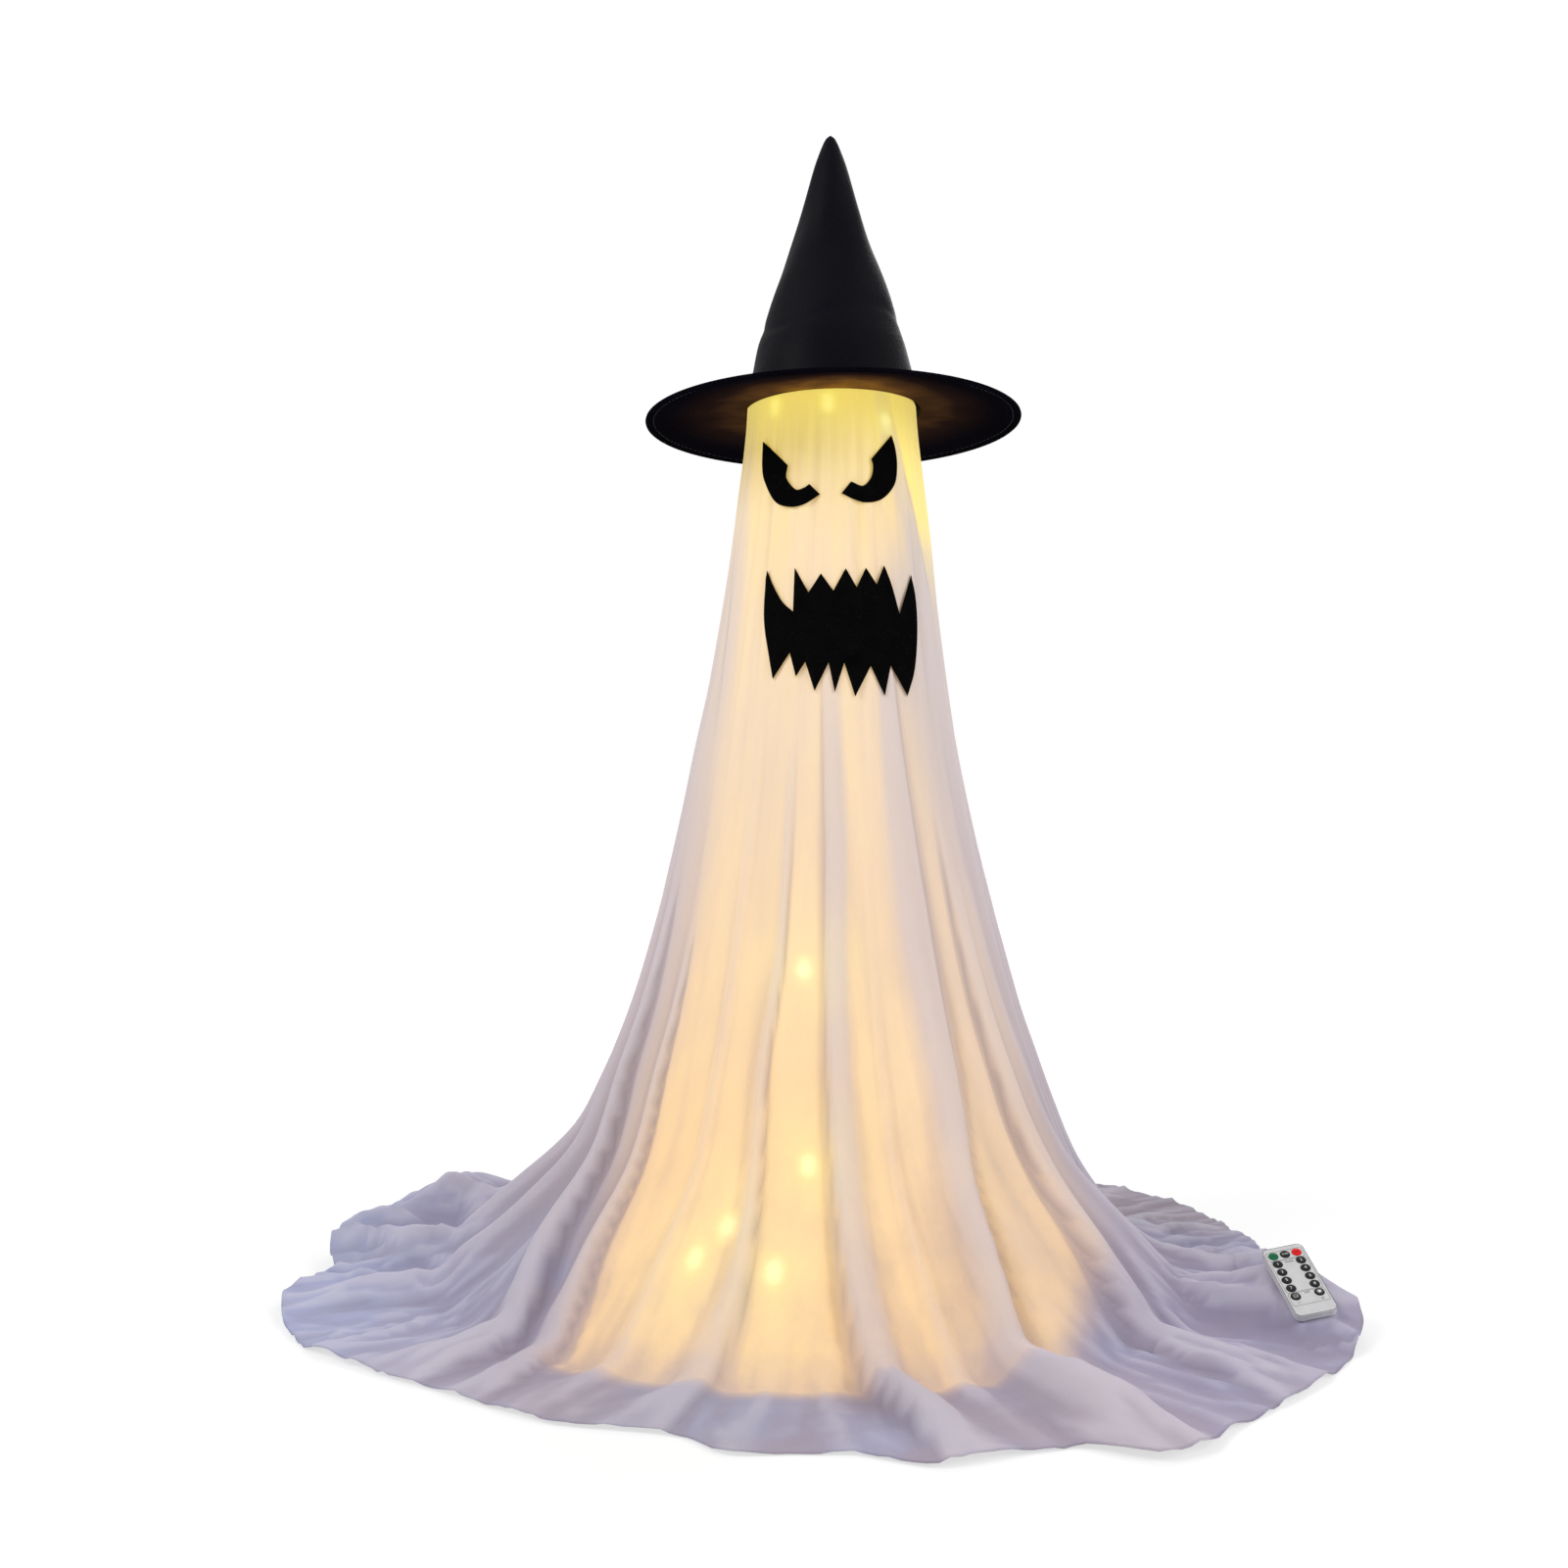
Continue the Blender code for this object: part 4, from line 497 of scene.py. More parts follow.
def drapeLine():
    # Points down the drape's side, from the rounded edge of the head to the floor
    size = ghostCloth
    knots = [(size["headRadius"], clothTop - size["headCorner"])]
    for height, spread in size["sideShares"]:
        radius = size["headRadius"] + spread * (size["footRadius"] - size["headRadius"])
        knots.append((radius, height * clothTop))
    knots.append((size["footRadius"], size["floorClear"] + size["thickness"] / 2))
    knots = np.array(knots)
    steps = np.hypot(*np.diff(knots, axis=0).T)
    travel = np.concatenate([[0.0], np.cumsum(steps)])
    slopes = np.gradient(knots, travel, axis=0)
    slopes[0] = size["topSlope"]
    slopes[-1] = (1.0, 0.0)
    wanted = np.linspace(0.0, travel[-1], size["sideRows"])
    segment = np.clip(np.searchsorted(travel, wanted, side="right") - 1, 0, len(steps) - 1)
    span = steps[segment][:, None]
    part = ((wanted - travel[segment]) / steps[segment])[:, None]
    start, end = knots[segment], knots[segment + 1]
    return (
        start * (2 * part ** 3 - 3 * part ** 2 + 1)
        + slopes[segment] * span * (part ** 3 - 2 * part ** 2 + part)
        + end * (-2 * part ** 3 + 3 * part ** 2)
        + slopes[segment + 1] * span * (part ** 3 - part ** 2)
    )


def laidFold(fold, down, degrees):
    # Rise of one laid fold, its doubled band painted paler where less light comes through, and the painted shade
    # in its crease
    section = laidSection
    left, right, rise = (softTable(down, sorted(fold["path"]), column) for column in (1, 2, 3))
    across = angleGap(degrees, left) / (right - left)
    if fold["edge"] == "right":
        across = 1.0 - across
    if fold["edge"] == "soft":
        shape = np.where((across > 0) & (across < 1), np.sin(np.pi * np.clip(across, 0, 1)) ** 2, 0.0)
        band = fold["shade"] * shape * np.clip(rise / section["softFullHeight"], 0, 1)
        return rise * shape, band, np.zeros_like(rise)
    shape = ease(across, *section["rise"]) * (1.0 - ease(across, *section["fall"]))
    dip = section["dipShare"] * bell(across, *section["dip"])
    band = ease(across, *section["bandRise"]) * (1.0 - ease(across, *section["bandFall"]))
    crease = section["creaseShare"] * bell(across, *section["crease"])
    fade = np.clip(rise / section["fullHeight"], 0, 1)
    return rise * (shape - dip), fade * fold["shade"] * band, fade * crease


def roundFold(fold, down, degrees):
    middle, half, rise, drift, shade = fold
    grow = softTable(down, roundSection["growth"])
    wander = drift * np.sin(down * roundSection["drift"] + middle)
    shape = np.exp(-(angleGap(degrees, middle + wander) / half) ** 2 * roundSection["narrow"])
    band = roundSection["shade"] * shade * shape * np.clip(grow * roundSection["shadeGrowth"], 0, 1)
    return rise * grow * shape, band


def wavesRound(degrees, waves):
    radians = np.radians(degrees)
    return sum(share * np.sin(count * radians + start) for count, start, share in waves)


def gatherDepth(down, degrees):
    # The gathered pleats only ever go inwards
    depth = softTable(down, gather["depth"])
    slant = gather["slant"] * (gather["slantFrom"] - down)
    main = wavesRound(degrees + slant, gather["waves"])
    fine = wavesRound(degrees - gather["fineSlantShare"] * slant, gather["fineWaves"])
    pleats = -depth * (0.5 + 0.5 * np.clip(main, -1, 1))
    return pleats - gather["fineShare"] * depth * (0.5 + 0.5 * np.clip(fine, -1, 1))


def slackDepth(down, degrees):
    depth = softTable(down, slack["depth"])
    depth = depth * (1.0 - slack["frontShare"] * bell(degrees, 0.0, slack["frontHalf"]))
    return depth * wavesRound(degrees + slack["slant"] * down, slack["waves"])


def foldRise(down, degrees):
    # How far the cloth stands out of the plain drape, how doubled it is, and how much painted shade its creases
    # get
    size = ghostCloth
    rise = gatherDepth(down, degrees) + slackDepth(down, degrees)
    band, crease = np.zeros_like(rise), np.zeros_like(rise)
    rise = rise + between(degrees, *size["rightSide"]) * softTable(down, size["sideShift"], 1)
    rise = rise + between(degrees, *size["leftSide"]) * softTable(down, size["sideShift"], 2)
    rise = rise + bellRound(degrees, *size["flank"]) * softTable(down, size["flankSwell"])
    for fold in laidFolds:
        more, double, dark = laidFold(fold, down, degrees)
        rise = rise + laidSection["swell"] * more
        band, crease = np.maximum(band, double), np.maximum(crease, dark)
    for fold in roundFolds:
        more, double = roundFold(fold, down, degrees)
        rise = rise + more
        band = np.maximum(band, double)
    return rise, band, crease


# Wrinkles of the cloth that lies on the floor, more of them on the left
wrinkles = {
    "evenShare": 0.25,
    "sides": ((0.75, -92.0, 34.0), (0.35, 170.0, 60.0), (0.55, 70.0, 34.0)),    # share, middle, half width
    "startsBelow": (0.085, -0.085),
    # each kind: how fine it is round and outwards, then its ridges' height, steepness, roundness and power
    "long": (8.0, 4.5), "longRidge": (0.0125, 3.0, 0.05, 1.4),
    "short": (19.0, 8.0), "shortRidge": (0.0075, 3.0, 0.06, 1.3), "shortBend": 2.0,
    "crossed": (15.0, 11.0), "crossedRidge": (0.0060, 3.2, 0.06, 1.3), "crossedShare": 0.4,
    # rolls pushed up at the back of the left side: middle, half width in degrees, height
    "rolls": (
        (-93, 3.2, 0.020), (-102, 5.4, 0.033), (-112, 6.5, 0.040), (-122, 6.0, 0.024), (-132, 5.0, 0.008),
    ),
    "rollWander": (1.5, 30.0),     # degrees aside, radians for each metre
    "rollStart": (0.06, -0.09), "rollEnd": (-0.07, -0.08), "rollEndShare": 0.45,
}


def ridgeOf(value, height, steepness, roundness, power):
    return height * max(0.0, 1.0 - steepness * math.hypot(value, roundness)) ** power


def wrinkleRise(points, degrees, down):
    # How far each point of the grid is lifted
    amount = wrinkles["evenShare"]
    for share, middle, half in wrinkles["sides"]:
        amount = amount + share * bellRound(degrees, middle, half)
    leftShade = bellRound(degrees, *wrinkles["sides"][0][1:])
    near = ease(down, *wrinkles["startsBelow"])
    rise = np.zeros(len(points))
    for index in np.nonzero(near > 0.001)[0]:
        x, y, _z = points[index]
        radius = math.hypot(x, y)
        side, front = math.sin(math.radians(degrees[index])), math.cos(math.radians(degrees[index]))
        fine, out = wrinkles["long"]
        long = noise.noise(Vector((side * fine, front * fine, radius * out)))
        fine, out = wrinkles["short"]
        short = noise.noise(Vector((side * fine + wrinkles["shortBend"] * long, front * fine, radius * out)))
        fine, level = wrinkles["crossed"]
        crossed = noise.noise(Vector((x * fine + long, y * fine, level)))
        ridge = ridgeOf(long, *wrinkles["longRidge"])
        ridge += ridgeOf(short, *wrinkles["shortRidge"])
        ridge += ridgeOf(crossed, *wrinkles["crossedRidge"]) * (wrinkles["crossedShare"] + leftShade[index])
        rise[index] = ridge * near[index] * amount[index]
    aside, turns = wrinkles["rollWander"]
    for middle, half, height in wrinkles["rolls"]:
        shape = bellRound(degrees, middle + aside * np.sin(down * turns + middle), half)
        sinks = 1.0 - wrinkles["rollEndShare"] * ease(down, *wrinkles["rollEnd"])
        rise = rise + height * shape * ease(down, *wrinkles["rollStart"]) * sinks
    return rise


# The fold that the remote lies on, and the room that the cloth leaves under it
mound = {
    "crest": (                     # height, rise of the fold, half width in degrees
        (-0.145, 0.006, 6.0), (-0.126, 0.019, 6.0), (-0.063, 0.0575, 5.6), (0.0, 0.042, 5.4),
        (0.05, 0.016, 5.0), (0.12, 0.0, 5.0),
    ),
    "angle": 64.0,
    "blunt": 2.4,
    "calmShare": 0.7, "calmBelow": (0.045, -0.06),    # other folds run out over it
    "keptShare": 0.25,
    "gap": 0.0009,                 # under the back of the remote
    "room": 0.004,                 # round it, and past its tray's way out
    "slope": 1.6,                  # how steeply the cloth may rise again beside it
    "reach": 0.05,
    "below": 0.2,                  # height under which the cloth can lie on it
}


def remoteMound(height, degrees, down):
    crest = softTable(down, mound["crest"])
    half = plainTable(down, mound["crest"], 2)
    shape = np.exp(-np.abs(angleGap(degrees, mound["angle"]) / half) ** mound["blunt"])
    calm = 1.0 - mound["calmShare"] * shape * ease(down, *mound["calmBelow"])
    return np.maximum(height * calm, crest * shape + mound["keptShare"] * height * calm)


def underRemote(points):
    # Keep the cloth just below the back of the remote and its tray's way out, and a little round them
    spots = np.array(points)
    lowEnd = cardEnds[0] - joints["tray_slide"]["range_m"][1] - mound["room"]
    across = spots @ np.array(cardAcross)
    along = spots @ np.array(cardAlong)
    outside = np.maximum.reduce([
        cardSides[0] - across, across - cardSides[1], lowEnd - along, along - cardEnds[1],
        np.zeros(len(spots)),
    ])
    plane = (cardBack - mound["gap"] - spots[:, 0] * cardUp.x - spots[:, 1] * cardUp.y) / cardUp.z
    limit = plane + np.clip(outside - mound["room"], 0, None) * mound["slope"]
    low = np.where(outside < mound["reach"], np.minimum(spots[:, 2], limit), spots[:, 2])
    spots[:, 2] = np.maximum(low, np.minimum(spots[:, 2], ghostCloth["floorClear"]))
    return spots


def hemLine(degrees):
    # The hem's radius all round, its corners rounded
    size = ghostCloth
    table = sorted(size["hemShares"])
    table = [(a - 360.0, s) for a, s in table] + table + [(a + 360.0, s) for a, s in table]
    wide = np.linspace(-190.0, 190.0, size["hemSteps"])
    window = np.hanning(size["hemRounding"]) / np.hanning(size["hemRounding"]).sum()
    outline = np.convolve(np.interp(wide, *zip(*table)), window, mode="same")
    return np.interp(degrees, wide, outline) * size["hemRadius"]


def drapeGrid():
    # Plain drape, row by row: radius, height, how far out and up a fold rises, height or way out, degrees;
    # and how far each row's folds keep their rise
    size = ghostCloth
    degrees = np.linspace(-180.0, 180.0, size["columns"], endpoint=False)
    inner = size["headRadius"] - size["headCorner"]
    rings = np.linspace(size["headMiddleShare"], 1.0, size["headRows"])
    rows = [(inner * share, clothTop, 0.0, 1.0, clothTop) for share in rings]
    for turn in np.linspace(math.pi / 2, 0.0, size["cornerRows"] + 1)[1:-1]:
        drop = clothTop - size["headCorner"] * (1 - math.sin(turn))
        rows.append((inner + size["headCorner"] * math.cos(turn), drop, math.cos(turn), math.sin(turn), drop))
    line = drapeLine()
    slope = np.gradient(line, axis=0)
    slope /= np.hypot(*slope.T)[:, None]
    outward = smoothStep(line[:, 1] / size["uprightBelow"])
    rows += [
        (radius, height, -drop * upright, out, height)
        for (radius, height), (out, drop), upright in zip(line, slope, outward)
    ]
    rows = np.array(rows)
    reach = np.linspace(0.0, 1.0, size["hemRows"] + 1)[1:]
    hemRadius = size["footRadius"] + reach[:, None] * (hemLine(degrees)[None, :] - size["footRadius"])
    flat = (hemRadius, rows[-1, 1], 0.0, 1.0, size["footRadius"] - hemRadius)
    grids = []
    for column, below in enumerate(flat):
        above = np.repeat(rows[:, column:column + 1], size["columns"], axis=1)
        grids.append(np.vstack([above, np.broadcast_to(below, hemRadius.shape)]))
    grids.append(np.repeat(degrees[None, :], len(grids[0]), axis=0))
    calm = 1.0 - size["hemCalmShare"] * ease(np.append(np.zeros(len(rows)), reach), *size["hemCalm"])
    return grids, calm[:, None]


# How the light inside shows
innerLight = {
    # height; left and right edge of the lit part in degrees; level inside, beyond; softness; half width behind
    "levels": (
        (0.0, -36, 29, 0.78, 0.0, 5, 36), (0.024, -38, 35, 0.95, 0.02, 6, 38),
        (0.079, -42, 52, 0.98, 0.05, 9, 42), (0.155, -51, 57, 1.0, 0.08, 13, 48),
        (0.225, -54, 58, 1.0, 0.14, 15, 50), (0.272, -54, 59, 0.98, 0.18, 15, 50),
        (0.366, -56, 58, 0.94, 0.26, 16, 52), (0.463, -58, 52, 0.90, 0.33, 16, 56),
        (0.561, -60, 43, 0.90, 0.40, 16, 60), (0.640, -61, 34, 0.92, 0.46, 16, 64),
        (0.707, -62, 29, 0.95, 0.54, 16, 70), (0.760, -64, 42, 0.98, 0.62, 16, 76),
        (0.830, -72, 70, 1.0, 0.74, 16, 82), (0.920, -95, 95, 1.0, 0.92, 16, 95),
    ),
    "backMiddle": 178.0,
    "backShare": 0.85,
    "hemReach": -0.026,            # how far out over the floor the light still shows
    "rightDim": (4.0, 34.0), "rightDimBelow": (0.80, -0.2), "rightDimShare": 0.16,
    "bandShare": 0.50, "creaseShare": 0.30,
    "crown": ((0.72, 0.0), (0.80, 0.14), (0.85, 0.38), (0.88, 0.72), (0.905, 1.0)),
    # past the fold at the right of the head the light shows strongest: height and degrees of that fold
    "foldEdge": ((0.66, 66.0), (0.75, 60.0), (0.83, 51.0), (0.905, 40.0)),
    "foldSoft": 4.0, "foldEnd": (118.0, -30.0), "foldAbove": (0.68, 0.12),
    "foldCrownShare": 0.85, "foldGlowShare": 0.95,
    # each bright spot over a light: degrees, height, strength
    "spots": (
        (-8.2, 0.332, 1.0), (-4.8, 0.158, 1.0), (-18.4, 0.108, 0.9), (-22.1, 0.084, 0.9), (-8.9, 0.078, 1.1),
        (-2.5, 0.895, 0.7), (36.8, 0.880, 0.7), (-40.2, 0.896, 0.6), (172, 0.300, 0.9), (-160, 0.140, 0.9),
        (150, 0.090, 0.9), (-172, 0.620, 0.5), (120, 0.885, 0.6), (-110, 0.890, 0.6), (180, 0.893, 0.6),
    ),
    "spotRadius": 0.0075, "spotStretch": 0.9, "spotWithin": 60.0,
    "haloRadius": 0.046, "haloShare": 0.20,
}


def lightLevels(points, degrees, down, band, crease):
    light = innerLight
    left, right = softTable(down, light["levels"], 1), softTable(down, light["levels"], 2)
    level, beyond, soft = (plainTable(down, light["levels"], column) for column in (3, 4, 5))
    inside = smoothStep((degrees - left) / soft / 2 + 0.5) * smoothStep((right - degrees) / soft / 2 + 0.5)
    fromBack = np.abs(angleGap(degrees, light["backMiddle"]))
    behind = smoothStep((softTable(down, light["levels"], 6) - fromBack) / soft / 2 + 0.5)
    inside = np.maximum(inside, light["backShare"] * behind)
    glow = beyond + (level - beyond) * inside
    glow = np.where(down < 0, np.interp(down, (light["hemReach"], 0.0), (0.0, 1.0)) * glow, glow)
    toRight = ease(degrees, *light["rightDim"]) * ease(down, *light["rightDimBelow"])
    glow = glow * (1.0 - light["rightDimShare"] * toRight)
    glow = glow * (1.0 - light["bandShare"] * band) * (1.0 - light["creaseShare"] * crease)
    past = ease(degrees, softTable(down, light["foldEdge"]), light["foldSoft"])
    past = past * ease(degrees, *light["foldEnd"]) * ease(down, *light["foldAbove"])
    crown = np.maximum(softTable(down, light["crown"]), light["foldCrownShare"] * past)
    glow = np.maximum(glow, light["foldGlowShare"] * past)
    spot = np.zeros_like(glow)
    for angle, height, strength in light["spots"]:
        aside = np.radians(angleGap(degrees, angle)) * np.hypot(points[:, 0], points[:, 1])
        away = np.hypot(aside, (points[:, 2] - height) * light["spotStretch"])
        halo = light["haloShare"] * bell(away, 0.0, light["haloRadius"])
        shine = bell(away, 0.0, light["spotRadius"]) + halo
        front = np.abs(angleGap(degrees, angle)) < light["spotWithin"]
        spot = np.maximum(spot, np.where(front, strength * shine, 0.0))
    return glow, crown, spot


# How deep a point lies in a fold gives painted shade in a crease or a painted highlight on a ridge
valleyShade = {
    "reaches": ((2, 0.0007), (5, 0.0030)),    # steps to the neighbours, depth that counts as full
    "most": 1.4,
    "creaseShare": 0.62, "frontCreaseShare": 0.30, "frontHalf": 40.0, "frontAbove": (-0.02, 0.04),
}


def valleys(grid, turned, outAcross, outUp):
    # 1 deep in a fold, -1 on top of one, from how far each point lies below its neighbours
    normal = np.stack([outAcross * np.sin(turned), -outAcross * np.cos(turned), outUp], axis=-1)
    total = np.zeros(grid.shape[:2])
    rows = np.arange(len(grid))
    for reach, depth in valleyShade["reaches"]:
        around = np.roll(grid, reach, axis=1) + np.roll(grid, -reach, axis=1)
        above, below = grid[np.maximum(rows - reach, 0)], grid[np.minimum(rows + reach, len(grid) - 1)]
        around = around + 0.5 * (above + below)
        sunk = np.einsum("rck,rck->rc", around / 3.0 - grid, normal)
        plain = np.median(sunk, axis=1, keepdims=True)
        total = total + 0.5 * np.clip((sunk - plain) / depth, -valleyShade["most"], valleyShade["most"])
    return np.clip(total, -1, 1)


clothColours = {
    "plain": (0.66, 0.55, 0.42), "sheen": (0.86, 0.84, 1.0),
    # painted shade on the unlit cloth from the floor up, darkest and most lavender at the floor
    "shade": (
        (0.0, (0.36, 0.31, 0.40)), (0.06, (0.385, 0.335, 0.40)), (0.20, (0.47, 0.40, 0.43)),
        (0.42, (0.58, 0.50, 0.53)), (0.75, (0.68, 0.61, 0.61)), (1.0, (0.76, 0.66, 0.52)),
    ),
    # mauve and blue patches at random; the blue also paints shade low on the left
    "mauve": (0.43, 0.33, 0.38), "blue": (0.33, 0.36, 0.55),
    # painted shade, bluer low on the right and darker grey at the back right
    "rightBlue": (0.25, 0.245, 0.385), "backGrey": (0.22, 0.18, 0.20),
    # painted highlight on the ridges, doubled cloth painted paler where less light comes through, painted shade in
    # creases
    "ridge": (0.66, 0.63, 0.72), "band": (0.66, 0.59, 0.61), "crease": (0.27, 0.22, 0.26),
    "streak": (0.52, 0.46, 0.50),
    # cloth with the light behind it
    "litHigh": (0.68, 0.575, 0.46), "litLow": (0.69, 0.50, 0.34), "litRight": (0.70, 0.58, 0.50),
    "golden": (0.70, 0.60, 0.33), "crown": (0.72, 0.60, 0.20),
    # the light that comes through
    "warm": (
        (0.0, (0.0, 0.0, 0.0)), (0.30, (0.035, 0.018, 0.008)), (0.60, (0.13, 0.075, 0.020)),
        (0.85, (0.28, 0.165, 0.030)), (1.0, (0.36, 0.225, 0.045)),
    ),
    "crownLight": (0.22, 0.21, 0.02),
    "spotLight": ((0.0, (0.0, 0.0, 0.0)), (0.3, (0.10, 0.13, 0.0)), (1.0, (0.35, 0.42, 0.16))),
}


# Where each colour shows: from and to, then the shares there where they aren't 0 and 1
clothWays = {
    "low": (0.16, 0.02), "shadeHeight": (0.0, 0.92), "warmBelow": (0.55, 0.15),
    "mauvePatches": (0.52, 0.64, 0.0, 0.55), "bluePatches": (0.50, 0.38, 0.0, 0.60),
    # painted shade to the left, to the right and at the back right
    "blueLeft": (-0.20, -0.50), "blueRight": (0.07, 0.30, 0.0, 0.60), "greyBack": (0.08, 0.24, 0.0, 1.2),
    "paleRight": (0.02, 0.11, 0.0, 0.65), "paleAbove": (0.06, 0.22),
    "goldenStrands": (0.48, 0.66), "goldenAbove": (0.45, 0.80), "goldenShare": 0.55,
    # the inner light's unevenness, then the shares of the ridges' painted highlight, the doubled bands' painted
    # paler tone and the creases' painted shade
    "uneven": (0.3, 0.7, 0.90, 1.06), "litPower": 1.5, "ridgeShare": 0.34, "bandShare": 0.55,
    "creases": (0.10, 1.0, 0.0, 0.42), "streaks": (0.35, 0.75, 0.0, 0.10),
}
clothGrain = {
    "roughness": 0.82, "gloss": 0.25, "sheen": (0.22, 0.45),
    "patches": (5.0, 2.0), "threads": (1150.0, 1.0),    # per metre, detail
    # per metre across, along and up, detail, roughness
    "streaks": ((26.0, 26.0, 2.2), 3.0, 0.6), "strands": ((55.0, 55.0, 3.0), 2.0, 0.6),
    "crossThreads": ((900.0, 900.0, 190.0), 1.0), "creases": ((70.0, 70.0, 15.0), 4.0, 0.6),
    "weaveBump": (0.0004, 0.35), "creaseBump": (0.0022, 0.35),    # depth, strength
}


def makeClothFinish():
    ways, grain, colours = clothWays, clothGrain, clothColours
    roughness, gloss = grain["roughness"], grain["gloss"]
    finish, tree, shader = newFinish("ghostClothFinish", colours["plain"], roughness, 0.0, gloss)
    addSheen(shader, *grain["sheen"], colours["sheen"])
    glow, crown, spot, ridge, band, crease = (
        numberOf(tree, name) for name in ("glow", "crown", "spot", "ridge", "band", "crease")
    )
    place = objectSpot(tree)
    patch = noiseOf(tree, place, *grain["patches"])
    streak = stretchedNoise(tree, *grain["streaks"])
    strands = stretchedNoise(tree, *grain["strands"])
    parts = addNode(tree, "SeparateXYZ", {}, {"Vector": place}).outputs
    height, aside = parts["Z"], parts["X"]
    low = rangeOf(tree, height, *ways["low"])

    # unlit: mauve and bluish patches low down; painted shade darker towards the floor, bluer to both sides
    # and greyer at the back right, and a painted highlight on the ridges
    mauve = timesOf(tree, rangeOf(tree, patch, *ways["mauvePatches"]), low)
    leftShade = rangeOf(tree, aside, *ways["blueLeft"])
    blue = mathOf(tree, "MAXIMUM", rangeOf(tree, patch, *ways["bluePatches"]), leftShade)
    rightShade = timesOf(tree, rangeOf(tree, aside, *ways["blueRight"]), low)
    shade = rampOf(tree, rangeOf(tree, height, *ways["shadeHeight"]), colours["shade"])
    for share, colour in (
        (mauve, "mauve"),
        (timesOf(tree, blue, low), "blue"),
        (rightShade, "rightBlue"),
        (timesOf(tree, rangeOf(tree, parts["Y"], *ways["greyBack"]), rightShade), "backGrey"),
        (timesOf(tree, ridge, ways["ridgeShare"]), "ridge"),
    ):
        shade = mixOf(tree, share, shade, colours[colour])

    # lit: warmer low down, paler at the right, golden strands and crown
    pale = timesOf(tree, rangeOf(tree, aside, *ways["paleRight"]), rangeOf(tree, height, *ways["paleAbove"]))
    above = rangeOf(tree, height, *ways["goldenAbove"])
    golden = timesOf(tree, rangeOf(tree, strands, *ways["goldenStrands"]), above)
    lit = mixOf(tree, rangeOf(tree, height, *ways["warmBelow"]), colours["litHigh"], colours["litLow"])
    for share, colour in (
        (pale, "litRight"),
        (timesOf(tree, golden, ways["goldenShare"]), "golden"),
        (crown, "crown"),
    ):
        lit = mixOf(tree, share, lit, colours[colour])

    uneven = timesOf(tree, glow, rangeOf(tree, streak, *ways["uneven"]))
    surface = mixOf(tree, mathOf(tree, "POWER", uneven, ways["litPower"]), shade, lit)
    # doubled bands painted paler, painted shade in the creases, and random streaks
    for share, colour in (
        (timesOf(tree, band, ways["bandShare"]), "band"),
        (rangeOf(tree, crease, *ways["creases"]), "crease"),
        (rangeOf(tree, streak, *ways["streaks"]), "streak"),
    ):
        surface = mixOf(tree, share, surface, colours[colour])
    tree.links.new(surface, shader.inputs["Base Color"])

    through = rampOf(tree, uneven, colours["warm"])
    for more in (
        mixOf(tree, crown, (0.0, 0.0, 0.0), colours["crownLight"]),
        rampOf(tree, spot, colours["spotLight"]),
    ):
        through = mixOf(tree, 1.0, through, more, "ADD")
    tree.links.new(through, shader.inputs["Emission Color"])
    shader.inputs["Emission Strength"].default_value = 1.0

    # weave, and fine creases that run down it
    threads = noiseOf(tree, place, *grain["threads"])
    crossed = stretchedNoise(tree, *grain["crossThreads"])
    weave = bumpOf(tree, shader, mathOf(tree, "ADD", threads, crossed), *grain["weaveBump"])
    bumpOf(tree, shader, stretchedNoise(tree, *grain["creases"]), *grain["creaseBump"], weave)
    return finish


def makeCloth():
    size = ghostCloth
    (radius, height, outAcross, outUp, down, degrees), calm = drapeGrid()
    rise, band, crease = foldRise(down, degrees)
    rise = np.where(down >= clothTop - size["headCorner"], np.minimum(rise, 0.0), rise) * calm
    turned = np.radians(degrees)
    out = radius + outAcross * rise
    up = height + outUp * rise
    up = np.where(down < mound["below"], np.maximum(remoteMound(up, degrees, down), size["floorClear"]), up)
    points = np.stack([out * np.sin(turned), -out * np.cos(turned), up], axis=-1).reshape(-1, 3)
    degrees, down, band, crease = degrees.ravel(), down.ravel(), band.ravel(), crease.ravel()
    points[:, 2] += wrinkleRise(points, degrees, down)
    points = underRemote(points)
    points[:, 2] = np.maximum(points[:, 2], size["floorClear"])

    # painted shade deep in the folds and a painted highlight on their ridges, with less crease shade at the front
    valley = valleys(points.reshape(*radius.shape, 3), turned, outAcross, outUp).ravel()
    front = bell(degrees, 0.0, valleyShade["frontHalf"]) * ease(down, *valleyShade["frontAbove"])
    sunk = np.clip(valley, 0, 1) * (valleyShade["creaseShare"] - valleyShade["frontCreaseShare"] * front)
    crease = np.clip(crease + sunk, 0, 1)
    glow, crown, spot = lightLevels(points, degrees, down, band, crease)

    # the last point closes the middle of the head's top
    columns, middle = size["columns"], len(points)
    faces = gridFaces(len(radius), columns)
    faces += [(middle, step, (step + 1) % columns) for step in range(columns)]
    points = np.vstack([points, [(0.0, 0.0, clothTop)]])
    cloth = addPiece("ghostCloth", points, faces, makeClothFinish(), "stand")
    for name, values, last in (
        ("glow", glow, 1.0), ("crown", crown, 1.0), ("spot", spot, 0.0), ("band", band, 0.0),
        ("crease", crease, 0.0), ("ridge", np.clip(-valley, 0, 1), 0.0),
    ):
        setNumbers(cloth.data, name, np.append(values, last))
    solid = cloth.modifiers.new("thickness", "SOLIDIFY")
    solid.thickness = size["thickness"]
    solid.offset = -1.0
    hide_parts("ghost_cloth")


makeCloth()
print("ghost cloth draped")


